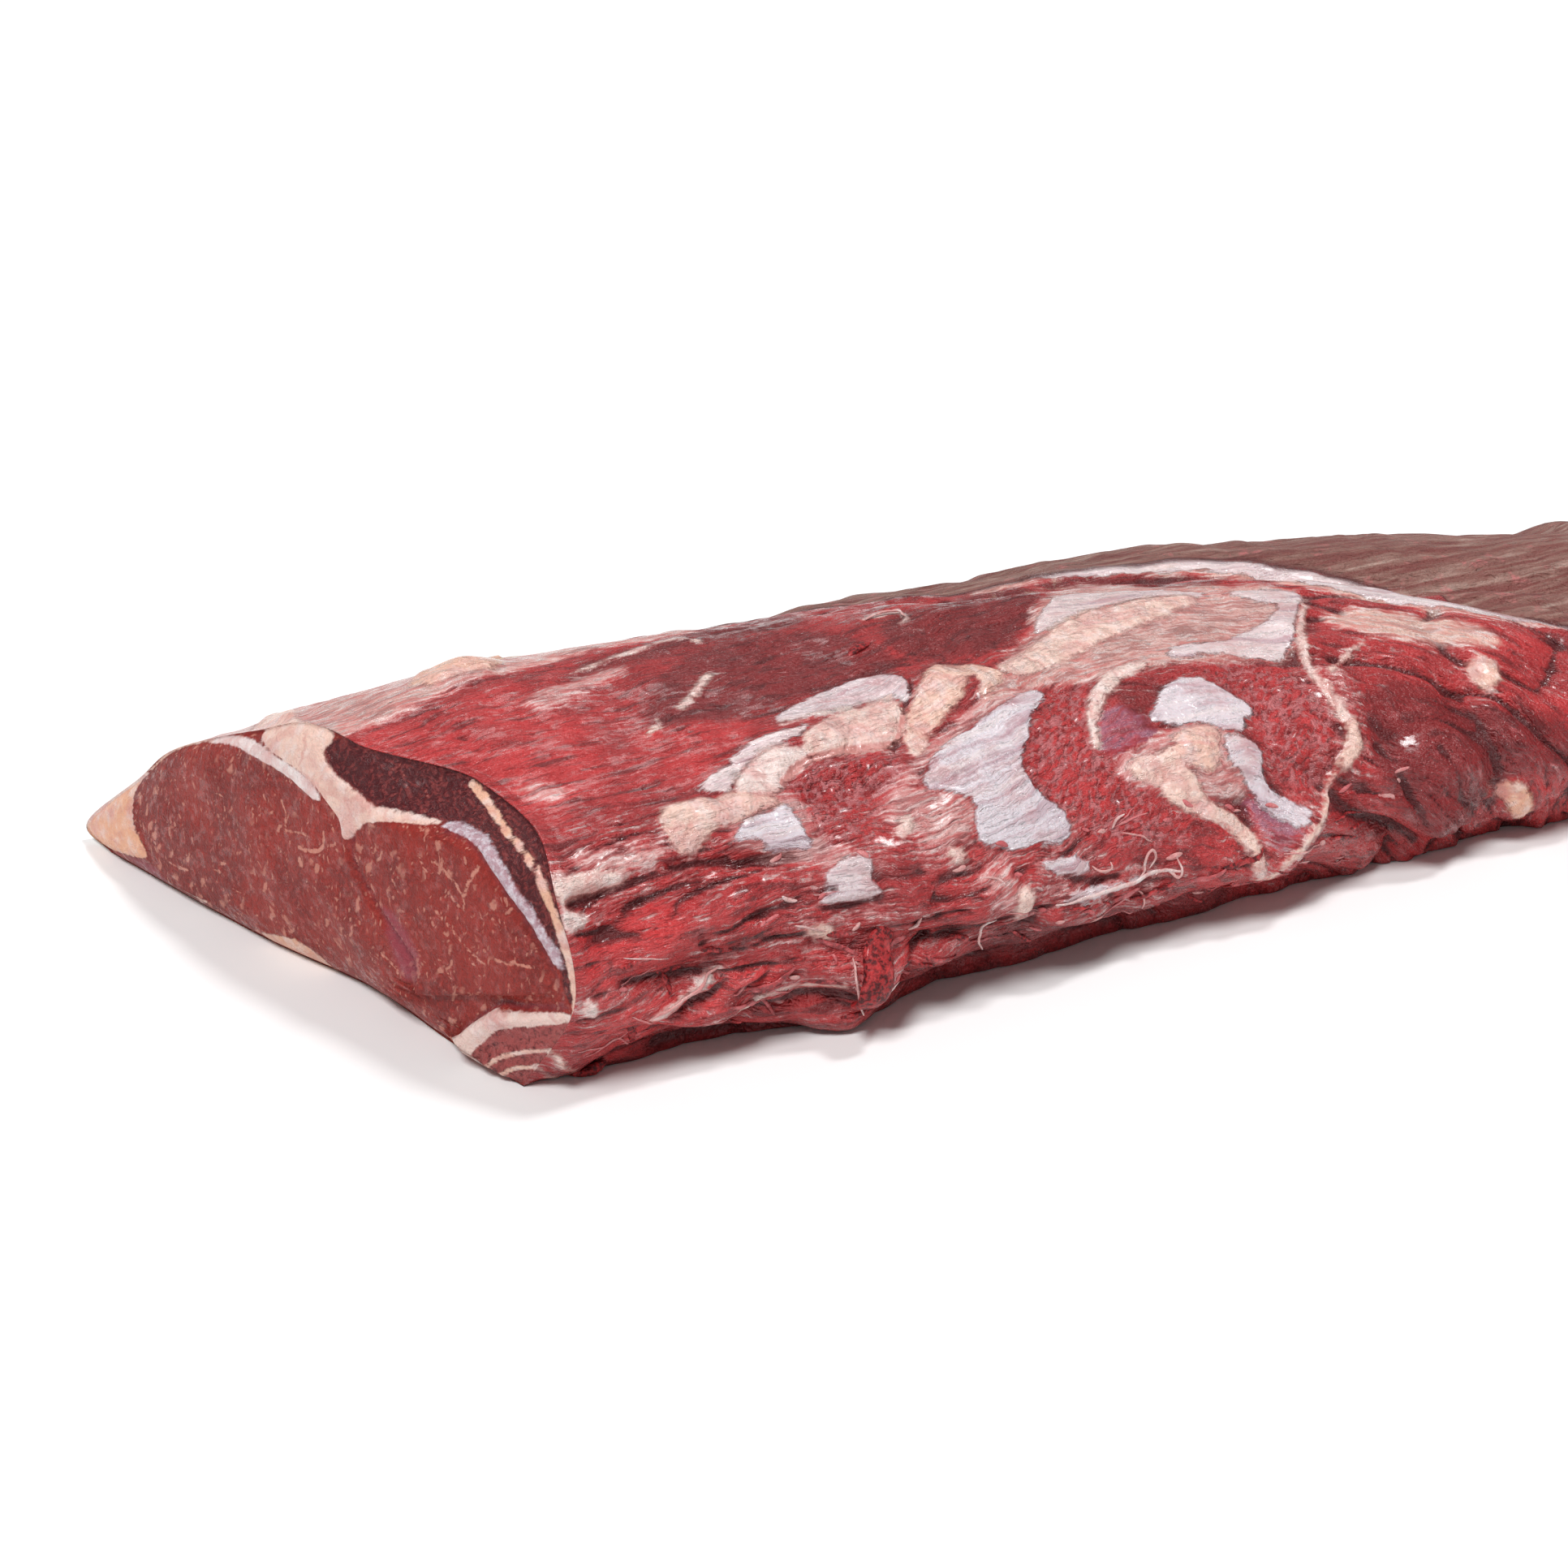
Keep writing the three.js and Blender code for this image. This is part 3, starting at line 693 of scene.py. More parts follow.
def potential(slopeX, slopeS, step):
    # the measure whose slopes come closest to the wanted ones, through mirrored Fourier series
    def mirrored(field, signX, signS):
        wide = np.concatenate([field, signX * field[::-1]], 0)
        return np.concatenate([wide, signS * wide[:, ::-1]], 1)

    rows, columns = slopeX.shape
    waveX = 2j * np.pi * np.fft.fftfreq(2 * rows, step)[:, None]
    waveS = 2j * np.pi * np.fft.fftfreq(2 * columns, step)[None, :]
    power = np.abs(waveX) ** 2 + np.abs(waveS) ** 2
    power[0, 0] = 1
    series = np.conj(waveX) * np.fft.fft2(mirrored(slopeX, -1, 1))
    series = (series + np.conj(waveS) * np.fft.fft2(mirrored(slopeS, 1, -1))) / power
    return np.fft.ifft2(series).real[:rows, :columns]


def readMap(field, spots, step):
    place = spots / step
    corner = np.clip(np.floor(place).astype(int), 0, np.array(field.shape) - 2)
    part = np.clip(place - corner, 0, 1)
    a, b = corner.T
    p, q = part.T
    low = field[a, b] * (1 - q) + field[a, b + 1] * q
    high = field[a + 1, b] * (1 - q) + field[a + 1, b + 1] * q
    return low * (1 - p) + high * p


def makeGrain():
    step = grainMap["step"]
    origin = np.array([flatSkin[:, 0].min() - step, -step])
    span = np.array([flatSkin[:, 0].max(), aroundLength.max()]) - origin + 2 * step
    x, s = np.meshgrid(*(np.arange(int(side / step) + 1) * step for side in span), indexing="ij")
    doubled = grainMap["plain"] * np.ones(x.shape, complex)
    for start, end in grainStrokes:
        a, b = (onSkin[nearestVertex(laySkin(pixel))][:2] for pixel in (start, end))
        angle = math.atan2(b[1] - a[1], b[0] - a[0])
        middle = (a + b) / 2 - origin
        gap = (x - middle[0]) ** 2 + (s - middle[1]) ** 2
        doubled = doubled + np.exp(-gap / (2 * grainMap["reach"] ** 2)) * np.exp(2j * angle)
    angle = np.angle(doubled) / 2
    along = potential(np.cos(angle), np.sin(angle), step)
    across = potential(-np.sin(angle), np.cos(angle), step)
    spots = onSkin[:, :2] - origin
    return np.stack([readMap(along, spots, step), readMap(across, spots, step), 0 * guideOf], 1)


grain = makeGrain()
wander = 2.6 * np.stack([noise(flatSkin, 21, 3), noise(flatSkin, 15, 4), 0 * guideOf], 1)
grain = grain + wander
print("grain worked out")


# Relief of the skin, in mm

relief = {
    "foot": 2.6, "near": 1.2, "far": 0.9,  # crags, as in the solid
    "strand": 0.7, "strandFoot": 1.5,  # torn fibres
    "fat": 0.8, "fatLobes": 0.9,
    "silver": 0.7, "film": 0.2,
    "crumb": 0.7, "wrinkle": 1.5,
    "footLumps": 1.1, "farLumps": 0.7, "lumpSize": 11, "farLumpSize": 12,
}
cleft = {"turns": 6, "depth": 1.6}  # rounds of averaging, and a full cleft's depth in mm
lumps = [
    {"name": "fat island", "x": 157, "guide": 3.2, "long": 24, "wide": 12, "high": 3.5},
    {"name": "fat heap", "x": 54, "guide": 2.35, "long": 12, "wide": 9, "high": 2.5},
    {"name": "silverskin shelf", "x": 104, "guide": 3.0, "long": 26, "wide": 9, "high": 2},
    {"name": "lean hollow", "x": 101, "guide": 2.45, "long": 20, "wide": 9, "high": -4},
    {"name": "silverskin swelling", "x": 138, "guide": 2.25, "long": 22, "wide": 16, "high": 2.5},
    {"name": "fat knots", "x": 217, "guide": 2.2, "long": 14, "wide": 9, "high": 3.5},
    {"name": "yellow fat", "x": 20, "guide": 4.27, "long": 16, "wide": 12, "high": 2.5},
    {"name": "torn flap at the foot", "x": 100, "guide": 0.62, "long": 12, "wide": 11, "high": 7},
    {"name": "torn blob at the foot", "x": 93, "guide": 0.18, "long": 14, "wide": 9, "high": 7},
    {"name": "foot trimmed behind the roll", "x": 42, "guide": 0.15, "long": 22, "wide": 12, "high": -4},
    {"name": "foot trimmed beyond the blob", "x": 140, "guide": 0.15, "long": 32, "wide": 15, "high": -10},
    {"name": "foot trimmed further on", "x": 190, "guide": 0.2, "long": 30, "wide": 14, "high": -8},
    {"name": "foot trimmed to the fold", "x": 245, "guide": 0.2, "long": 36, "wide": 14, "high": -5},
    {"name": "low start of the back lobe", "x": 235, "guide": 6.8, "long": 32, "wide": 30, "high": -2.5},
    {"name": "low end of the back lobe", "x": 455, "guide": 6.8, "long": 60, "wide": 40, "high": -4},
    {"name": "fat bank behind the cut", "x": -22, "guide": 4.75, "long": 20, "wide": 15, "high": 2.5},
    {"name": "lean roll at the corner", "x": 8, "guide": 0.4, "long": 16, "wide": 12, "high": 3},
    {"name": "bulge past the fold", "x": 308, "guide": 1.25, "long": 26, "wide": 20, "high": 5},
    {"name": "bulge before the fold", "x": 238, "guide": 0.9, "long": 26, "wide": 14, "high": 4},
    {"name": "far bulge", "x": 350, "guide": 1.4, "long": 24, "wide": 18, "high": 4},
]
ridges = [
    {"name": "fold where the roast turns", "wide": 12, "high": -5, "path": [
        (262, 1.75), (276, 1.2), (292, 0.7), (298, 0.3)]},
    {"name": "fat seam round the last muscle", "wide": 8, "high": 2.5, "path": [
        (280, 3.3), (284, 2.6), (279, 2.05), (262, 1.5), (247, 1.1)]},
    {"name": "upper tear", "wide": 7, "high": -3, "path": [(14, 1.7), (40, 1.86), (62, 2.02)]},
    {"name": "lower tear", "wide": 7, "high": -3, "path": [
        (20, 1.45), (44, 1.66), (67, 1.87), (88, 1.95)]},
    {"name": "tear above the foot", "wide": 9, "high": -4, "path": [
        (30, 0.95), (70, 1.1), (112, 1.0), (150, 0.8)]},
    {"name": "fold on the far near side", "wide": 11, "high": -4, "path": [
        (322, 2.4), (328, 1.6), (334, 0.9)]},
    {"name": "groove before the back lobe", "wide": 13, "high": -4, "path": [
        (318, 5.4), (334, 4.8), (345, 4.1), (366, 3.7), (388, 3.4), (420, 3.3)]},
]


def placeOnSkin(x, guide):
    column = np.argmin(np.abs(aroundPlaces - guide))
    return skin[np.argmin(np.abs(skin[:, column, 0] - x)), column]


def solidRelief():
    # the same swellings, folds and crags as the solid
    x, y, z = flatSkin.T
    swell = np.sin(x / 15 + 2.1 * np.sin(z / 19)) * np.sin(z / 5 + x / 37)
    lump = np.sin(x / 8 + y / 11) * np.sin(z / 6.5 - x / 21 + y / 14)
    foot = smooth(1.9, 1.1, guideOf) * smooth(0, 0.5, guideOf)
    size = relief["foot"] * foot + relief["near"] * (1 - foot) * smooth(5, 4.4, guideOf)
    size = size + relief["far"] * smooth(4.4, 5, guideOf)
    height = size * (0.65 * swell + 0.35 * lump)
    for item in lumps:
        offset = flatSkin - placeOnSkin(item["x"], item["guide"])
        reach = (offset[:, 0] / item["long"]) ** 2 + (offset[:, 1:] ** 2).sum(1) / item["wide"] ** 2
        height += item["high"] * np.exp(-1.4 * reach)
    for item in ridges:
        path = [placeOnSkin(x, guide) for x, guide in item["path"]]
        height += item["high"] * bell(distanceToLine(flatSkin, path, False), item["wide"] / 1.6)
    return height


def strands(size, seed):
    # rounded strands from 0 to 1 with sharp clefts between them, about "size" mm long and wide
    ripple = np.abs(noise(grain + 0.8 * noise(flatSkin, 9, seed + 5)[:, None] * np.array([0, 1, 0]),
                          (size[0], size[1], 9), seed))
    return np.minimum(ripple * 2.6, 1.0) ** 0.7


footShare = smooth(2.5, 1.3, guideOf) * smooth(5.2, 4.4, guideOf)
lastShare = smooth(262, 290, flatSkin[:, 0]) * smooth(4.2, 3.6, guideOf)
soft = np.maximum(smooth(-0.8, 1.2, fat), smooth(-0.6, 1.0, silver))
sheets = np.maximum(soft, 0.5 * smooth(-1, 1.5, film))
strandMix = 0.7 * strands((24, 5.4), 11) + 0.3 * strands((17, 3.4), 12)
lobes = roughNoise(flatSkin, 10, 31, 2)
grains = strands((5, 4), 41)
wrinkles = strands((30, 8), 43)


def skinHeight():
    height = solidRelief()
    strength = relief["strand"] + (relief["strandFoot"] - relief["strand"]) * footShare
    strength = strength * (0.8 + 0.7 * noise(flatSkin, 26, 21))
    height += strength * (2 * strandMix - 1.3) * (1 - 0.95 * sheets)
    footLumps = roughNoise(flatSkin, relief["lumpSize"], 23, 2)
    height += footShare * (1 - sheets) * relief["footLumps"] * footLumps
    height += relief["wrinkle"] * lastShare * (1 - sheets) * (2 * wrinkles - 1.3)
    height += smooth(-1.4, 2.6, fat) * (relief["fat"] + relief["fatLobes"] * lobes)
    height += relief["silver"] * smooth(-0.6, 0.6, silver) + relief["film"] * smooth(-1.0, 1.0, film)
    height += relief["crumb"] * smooth(-3, 3, crumb) * (1 - soft) * (1.6 * grains - 1)
    for line in skinTears:
        edge = skinPatches.stroke(line["pixels"], line["width"])
        uneven = 0.75 + 0.6 * noise(flatSkin, 8, 51)
        height -= line["depth"] * uneven * smooth(-line["width"] * 0.8, line["width"] * 0.4, edge)
    farLumps = roughNoise(flatSkin, relief["farLumpSize"], 61, 2)
    height += relief["farLumps"] * farLumps * smooth(4.6, 5.0, guideOf)
    return height


height = skinHeight()
height = height * smooth(0, 0.10, placeOf) * smooth(6, 5.85, placeOf)
height = height * smooth(9, 8.7, guideOf)


def cavity():
    # 0 in clefts and 1 on tops, from how far each point stands above its surroundings
    sheet = height.reshape(rowCount, columnCount)
    blurred = sheet.copy()
    for turn in range(cleft["turns"]):
        blurred[1:-1] = (blurred[:-2] + blurred[1:-1] + blurred[2:]) / 3
        blurred[:, 1:-1] = (blurred[:, :-2] + blurred[:, 1:-1] + blurred[:, 2:]) / 3
    return np.clip(0.5 + (sheet - blurred).ravel() / cleft["depth"], 0, 1)


opening = cavity()
moved = flatSkin + flatNormal * height[:, None]
moved[:, 2] = np.maximum(moved[:, 2], 0)
moved = moved.reshape(rowCount, columnCount, 3)
moved[:, 0, 2] = 0
moved[:, -1, 2] = 0
print("skin relief", round(float(height.min()), 1), "to", round(float(height.max()), 1), "mm")


# The cut end: muscles, seams and fat, all read off the photograph

cut = {
    "middleAcross": 0.42, "middleUp": 0.46, "ringSpread": 1.15,  # where the rings start and how they spread
    "bulge": 2.0, "stripWidth": 17, "ledge": 1.6, "corner": 4.5, "cornerTop": 1225,
    "underlip": 5.0, "lipMiddle": 68, "lipReach": 30,
    "rimRound": 1.0, "seam": 1.6, "fat": 0.7, "silver": 0.6, "strip": 1.6, "arc": 2.4,
}
cutFat = [
    {"name": "tip", "tint": 1.0, "pixels": [
        (96, 1012), (119, 996), (135, 980), (160, 962), (180, 945), (172, 965), (170, 991), (176, 1020),
        (192, 1048), (190, 1057), (168, 1052), (105, 1036)]},
    {"name": "white band", "tint": 0.0, "pixels": [
        (246, 908), (299, 906), (323, 912), (356, 934), (389, 954), (409, 983), (397, 984), (381, 968),
        (348, 944), (315, 925), (291, 916), (258, 915)]},
    {"name": "cream wedge", "tint": 0.5, "pixels": [
        (322, 900), (340, 884), (380, 884), (417, 905), (401, 929), (422, 954), (454, 979), (479, 995),
        (504, 1001), (549, 1011), (536, 1016), (495, 1010), (463, 1010), (444, 1028), (434, 1034),
        (430, 1011), (413, 987), (393, 956), (356, 934), (330, 912)]},
    {"name": "lump at the foot", "tint": 0.85, "pixels": [
        (311, 1144), (360, 1153), (389, 1157), (405, 1177), (419, 1200), (389, 1210), (364, 1192),
        (323, 1163)]},
    {"name": "rind at the foot", "tint": 0.7, "pixels": [
        (233, 1102), (266, 1108), (276, 1122), (262, 1126), (240, 1116)]},
    {"name": "band over the corner", "tint": 0.35, "pixels": [
        (569, 1275), (585, 1261), (622, 1237), (630, 1245), (700, 1247), (712, 1258), (696, 1262),
        (639, 1264), (622, 1267), (606, 1282), (590, 1304), (577, 1292)]},
]
cutFatLines = [
    {"name": "light edge of the tip", "tint": 0.3, "width": 3.0, "pixels": [
        (102, 1012), (135, 980), (176, 950)]},
    {"name": "outer arc of the corner", "tint": 0.6, "width": 1.3, "pixels": [
        (610, 1314), (620, 1304), (635, 1297), (667, 1293), (692, 1304), (706, 1318)]},
    {"name": "inner arc of the corner", "tint": 0.6, "width": 1.2, "pixels": [
        (618, 1330), (630, 1319), (647, 1313), (676, 1320), (686, 1336)]},
    {"name": "membrane of the strip", "tint": 0.85, "width": 2.2, "pixels": [
        (581, 966), (602, 987), (622, 1020), (643, 1044), (661, 1073), (668, 1097), (682, 1128),
        (700, 1180)]},
    {"name": "edge of the strip", "tint": 0.6, "width": 3.0, "pixels": [
        (690, 1150), (700, 1180), (706, 1212), (709, 1243)]},
    {"name": "low seam of the strip", "tint": 0.35, "width": 1.4, "pixels": [
        (479, 995), (510, 1002), (549, 1012)]},
    {"name": "rim of the left muscle", "tint": 0.6, "width": 0.9, "pixels": [
        (184, 950), (205, 928), (232, 914), (258, 912)]},
]
veins = [  # listed marbling: width in mm, then pixels
    (1.2, [(354, 985), (360, 1005), (357, 1024)]),
    (1.3, [(377, 1042), (397, 1048), (409, 1044), (409, 1022)]),
    (0.9, [(360, 1022), (377, 1024), (389, 1027)]), (0.7, [(270, 962), (271, 1003)]),
    (2.0, [(379, 1058), (382, 1063)]), (1.5, [(279, 978), (282, 981)]), (1.3, [(304, 1047), (307, 1049)]),
    (1.1, [(213, 1060), (241, 1072), (270, 1077), (285, 1058)]), (1.0, [(284, 1058), (285, 1081)]),
    (0.8, [(229, 1069), (230, 1089)]), (1.0, [(299, 1089), (311, 1118), (331, 1130), (325, 1150)]),
    (0.8, [(315, 1097), (340, 1122)]), (1.0, [(526, 1054), (534, 1073)]),
    (1.3, [(544, 1060), (569, 1085), (581, 1101), (582, 1120)]),
    (1.3, [(599, 1067), (586, 1089), (581, 1105)]), (1.0, [(553, 1085), (566, 1108), (581, 1119)]),
    (0.9, [(495, 1081), (503, 1097)]), (1.0, [(544, 1118), (565, 1142), (585, 1171), (610, 1191)]),
    (0.9, [(630, 1134), (639, 1160), (643, 1183)]), (0.9, [(614, 1179), (643, 1186), (667, 1191)]),
    (1.3, [(471, 1165), (470, 1190), (474, 1210)]), (1.0, [(479, 1171), (495, 1187), (504, 1206)]),
    (0.9, [(553, 1187), (566, 1212)]), (0.9, [(585, 1179), (602, 1208)]),
    (1.0, [(479, 1118), (503, 1150), (517, 1176)]), (0.9, [(560, 1250), (566, 1273)]),
    (0.8, [(430, 1140), (440, 1160)]), (0.8, [(515, 1120), (524, 1140)]),
    (0.8, [(598, 1110), (604, 1130)]), (0.8, [(320, 1010), (322, 1030)]),
    (0.8, [(408, 1100), (400, 1120)]),
]
cutSilver = [
    {"name": "band beside the right muscle", "pixels": [
        (549, 1012), (569, 1010), (585, 1018), (604, 1026), (614, 1044), (628, 1068), (641, 1092),
        (657, 1113), (668, 1133), (682, 1158), (693, 1180), (696, 1198), (684, 1190), (667, 1154),
        (655, 1132), (639, 1110), (622, 1085), (606, 1060), (594, 1042), (577, 1030), (557, 1022)]},
]
# the dark strip: its colour is partly the muscle's own and partly painted shade where the face slants back
# under the near rim
cutStrip = [
    {"name": "dark strip", "pixels": [
        (401, 929), (415, 905), (463, 920), (503, 930), (544, 940), (580, 950), (615, 975), (650, 1005),
        (675, 1040), (690, 1080), (700, 1114), (706, 1155), (712, 1196), (714, 1240), (696, 1240),
        (692, 1196), (680, 1155), (667, 1130), (639, 1089), (610, 1040), (585, 1018), (549, 1011),
        (503, 1001), (475, 992), (454, 979), (422, 954)]},
]
cutCorner = [
    {"name": "corner roll", "pixels": [
        (577, 1292), (606, 1282), (622, 1267), (639, 1262), (700, 1260), (730, 1262), (730, 1350),
        (600, 1350)]},
]
cutSeams = [
    {"name": "seam between the muscles", "width": 1.4, "pixels": [
        (442, 1028), (438, 1048), (446, 1069), (454, 1085), (475, 1122), (499, 1155), (520, 1191),
        (512, 1222)]},
    {"name": "seam over the corner", "width": 1.4, "pixels": [
        (566, 1276), (592, 1254), (618, 1233), (640, 1240), (696, 1242)]},
    {"name": "edge of the right muscle", "width": 1.2, "pixels": [
        (552, 1022), (577, 1032), (592, 1044), (606, 1064), (622, 1089), (640, 1116), (655, 1138),
        (670, 1164), (684, 1194), (692, 1240)]},
]
cutBruise = [
    {"name": "below the tip", "pixels": [
        (160, 1054), (192, 1058), (205, 1073), (220, 1096), (192, 1088), (168, 1070)]},
    {"name": "film in the seam", "pixels": [
        (475, 1112), (492, 1120), (514, 1150), (528, 1185), (516, 1215), (500, 1190), (488, 1150)]},
]


def endLoop(row, lip):
    over = moved[row]
    steps = np.arange(1, fineness["bottomSteps"])[:, None] / fineness["bottomSteps"]
    under = over[-1] + (over[0] - over[-1]) * steps
    under[:, 0] += lip * bell(under[:, 1] - cut["lipMiddle"], cut["lipReach"])
    return np.concatenate([over, under])


def ringFan(loop, rings):
    # points from the middle of an end out to its edge, with the share of the way out for each ring
    front, back = loop[0], loop[columnCount - 1]
    centre = front + (back - front) * cut["middleAcross"]
    centre[2] = loop[:, 2].max() * cut["middleUp"]
    shares = 1 - (1 - np.arange(1, rings + 1) / rings) ** cut["ringSpread"]
    fan = centre + (loop - centre) * shares[:, None, None]
    return centre, fan, shares


def withMiddle(middle, values):
    return np.concatenate([[middle], values.reshape(-1)])


nearLoop = endLoop(0, cut["underlip"])
farLoop = endLoop(-1, 0)
nearCentre, nearFan, nearShares = ringFan(nearLoop, fineness["cutRings"])
loopBack = np.concatenate([setbackAt(aroundPlaces), np.zeros(len(nearLoop) - columnCount)])
loopSpan = np.linalg.norm(nearLoop - nearCentre, axis=1)
stripEdge = cut["stripWidth"] * loopBack / rim["setback"] / loopSpan
ringGrid = np.repeat(nearShares[:, None], len(nearLoop), 1)
cutRing = withMiddle(0.0, ringGrid)
slope = loopBack * (ringGrid - smooth(1 - stripEdge - 1e-6, 1, ringGrid))
ledge = cut["ledge"] * (1 - ringGrid ** 6) * smooth(1 - stripEdge + 0.03, 1 - stripEdge - 0.05, ringGrid)
cutPoints = np.concatenate([nearCentre[None], nearFan.reshape(-1, 3)])
cutPoints[:, 0] -= withMiddle(cut["ledge"], slope + ledge) + cut["bulge"] * (1 - cutRing ** 3)
cutPicture = toPicture(cutPoints)
ringIndex = 1 + np.arange(ringGrid.size).reshape(ringGrid.shape)
ringNext = np.roll(ringIndex, -1, 1)
cutQuads = np.stack([ringIndex[:-1], ringIndex[1:], ringNext[1:], ringNext[:-1]], -1).reshape(-1, 4)
cutTree = BVHTree.FromPolygons(cutPoints.tolist(), cutQuads.tolist())


def layCut(pixel):
    hit = cutTree.ray_cast(eye, Vector(sightLine(pixel)))[0]
    if hit is None:
        return cutPoints[np.argmin(((cutPicture - np.array(pixel)) ** 2).sum(1))]
    return np.array(hit)


cutPatches = Patches(cutPoints, cutPicture, np.ones(len(cutPoints), bool), layCut)
cutFatEdge, cutFatTint = cutPatches.gather(cutFat, cutFatLines)
cutSilverEdge = cutPatches.gather(cutSilver)[0]
cutStripEdge = cutPatches.gather(cutStrip)[0]
cutCornerEdge = cutPatches.gather(cutCorner)[0]
cutSeamEdge = cutPatches.gather([], cutSeams)[0]
cutBruiseEdge = cutPatches.gather(cutBruise)[0]
veinLines = [{"width": width, "pixels": pixels} for width, pixels in veins]
cutVeinEdge = cutPatches.gather([], veinLines)[0]


def cutHeight():
    inside = 1 - cutRing ** 10
    lowFat = cutFatEdge * (cutPicture[:, 1] > cut["cornerTop"])
    rise = cut["corner"] * smooth(-2.5, 2.5, np.maximum(cutCornerEdge, lowFat))
    rise -= cut["strip"] * smooth(-1.5, 2.0, cutStripEdge)
    rise -= cut["seam"] * smooth(-1.5, 0.6, cutSeamEdge)
    rise -= cut["arc"] * smooth(0.3, 1.8, cutCornerEdge) * smooth(-0.2, -2.4, cutFatEdge)
    rise += cut["fat"] * smooth(-0.8, 0.8, cutFatEdge) + cut["silver"] * smooth(-0.8, 0.8, cutSilverEdge)
    flat = cutPoints * np.array([0, 1, 1])
    rise += 0.7 * noise(flat, 13, 71) + 0.25 * noise(flat, 4, 72)
    turned = flat @ np.array([[1, 0, 0], [0, 0.9, 0.45], [0, -0.45, 0.9]])
    fibres = 1 - 2 * np.abs(noise(turned, (9, 9, 2.4), 73))
    rise += 0.35 * fibres * smooth(-1, 1.5, cutStripEdge)
    return rise * inside - cut["rimRound"] * cutRing ** 30 * (cutRing < 1)


cutMoved = cutPoints - np.array([1.0, 0, 0]) * cutHeight()[:, None]
cutMoved[:, 2] = np.maximum(cutMoved[:, 2], 0)
cutMoved[-len(nearLoop):] = nearLoop
print("cut end worked out")


# The far end is finished as a second cut, with three muscles, their seams and a fat rim

farEnd = {
    "bulge": 3.0, "rimRound": 3.0, "seam": 2.0, "seamWide": 5.0, "rim": 5.0,
    "seamPath": [(0, 40, 60), (0, 46, 30), (0, 36, 6)],
    "crossSeam": [(0, 46, 30), (0, 80, 26), (0, 112, 40)],
}
farCentre, farFan, farShares = ringFan(farLoop, fineness["farRings"])
farGrid = np.repeat(farShares[:, None], len(farLoop), 1)
farPoints = np.concatenate([farCentre[None], farFan.reshape(-1, 3)])
farRing = withMiddle(0.0, farGrid)
farFlat = farPoints * np.array([0, 1, 1])
farSeam = np.minimum(distanceToLine(farFlat, farEnd["seamPath"], False),
                     distanceToLine(farFlat, farEnd["crossSeam"], False))
farHeight = farEnd["bulge"] * (1 - farRing ** 3) - farEnd["rimRound"] * farRing ** 12
farHeight -= farEnd["seam"] * bell(farSeam, farEnd["seamWide"] / 1.6)
farMoved = farPoints + np.array([1.0, 0, 0]) * (farHeight * (farRing < 1))[:, None]
farSpan = np.linalg.norm(farLoop - farCentre, axis=1)
farCap = np.concatenate([smooth(4.8, 5.4, aroundPlaces), np.zeros(len(farLoop) - columnCount)])
farFatEdge = withMiddle(-farAway, farEnd["rim"] * farCap - (1 - farGrid) * farSpan)
farFatEdge = np.where(withMiddle(0.0, farGrid * 0 + farCap) > 0.2, farFatEdge, -farAway)
farFatEdge = np.maximum(farFatEdge, 0.8 - farSeam)


# The whole roast as one closed mesh


def stitch():
    vertices = []
    faces = []
    zones = []

    def take(points):
        start = sum(len(block) for block in vertices)
        vertices.append(points)
        return start

    def quads(a, b, c, d, zone):
        block = np.stack([a, b, c, d], 1)
        faces.extend(block.tolist())
        zones.extend([zone] * len(block))

    def corners(grid):
        return grid[:-1, :-1].ravel(), grid[:-1, 1:].ravel(), grid[1:, 1:].ravel(), grid[1:, :-1].ravel()

    index = take(moved.reshape(-1, 3)) + np.arange(rowCount * columnCount).reshape(rowCount, columnCount)
    quads(*corners(index), 0)

    steps = fineness["bottomSteps"]
    shares = np.arange(1, steps)[None, :, None] / steps
    bottom = moved[:, None, -1] + (moved[:, None, 0] - moved[:, None, -1]) * shares
    lip = cut["underlip"] * bell(bottom[..., 1] - cut["lipMiddle"], cut["lipReach"])
    bottom[..., 0] += lip * smooth(12, 0, np.arange(rowCount))[:, None]
    bottomStart = take(bottom.reshape(-1, 3))
    under = bottomStart + np.arange(rowCount * (steps - 1)).reshape(rowCount, steps - 1)
    under = np.concatenate([index[:, -1:], under, index[:, :1]], 1)
    quads(*corners(under), 0)

    for row, points, rings, flip in ((0, cutMoved, fineness["cutRings"], True),
                                     (rowCount - 1, farMoved, fineness["farRings"], False)):
        edge = np.concatenate([index[row], under[row, 1:-1]])
        inner = points[:-len(edge)]
        start = take(inner)
        ringIndex = start + 1 + np.arange((rings - 1) * len(edge)).reshape(rings - 1, len(edge))
        ringIndex = np.concatenate([ringIndex, edge[None]])
        following = np.roll(ringIndex, -1, 1)
        zone = 1 if row == 0 else 2
        a, b = ringIndex[:-1].ravel(), ringIndex[1:].ravel()
        c, d = following[1:].ravel(), following[:-1].ravel()
        if flip:
            quads(a, d, c, b, zone)
        else:
            quads(a, b, c, d, zone)
        for i, j in zip(ringIndex[0], following[0]):
            faces.append([start, j, i] if flip else [start, i, j])
            zones.append(zone)
    return np.concatenate(vertices), faces, np.array(zones)


def addMesh(name, points, faces):
    mesh = bpy.data.meshes.new(name)
    mesh.from_pydata(((points + frontFoot) / 1000).tolist(), [], faces)
    mesh.validate()
    mesh.update()
    mesh.shade_smooth()
    piece = bpy.data.objects.new(name, mesh)
    bpy.context.scene.collection.objects.link(piece)
    return piece


def store(piece, name, values):
    values = np.asarray(values, np.float32)
    kind = "FLOAT_VECTOR" if values.ndim == 2 else "FLOAT"
    attribute = piece.data.attributes.new(name, kind, "POINT")
    attribute.data.foreach_set("vector" if values.ndim == 2 else "value", values.ravel())


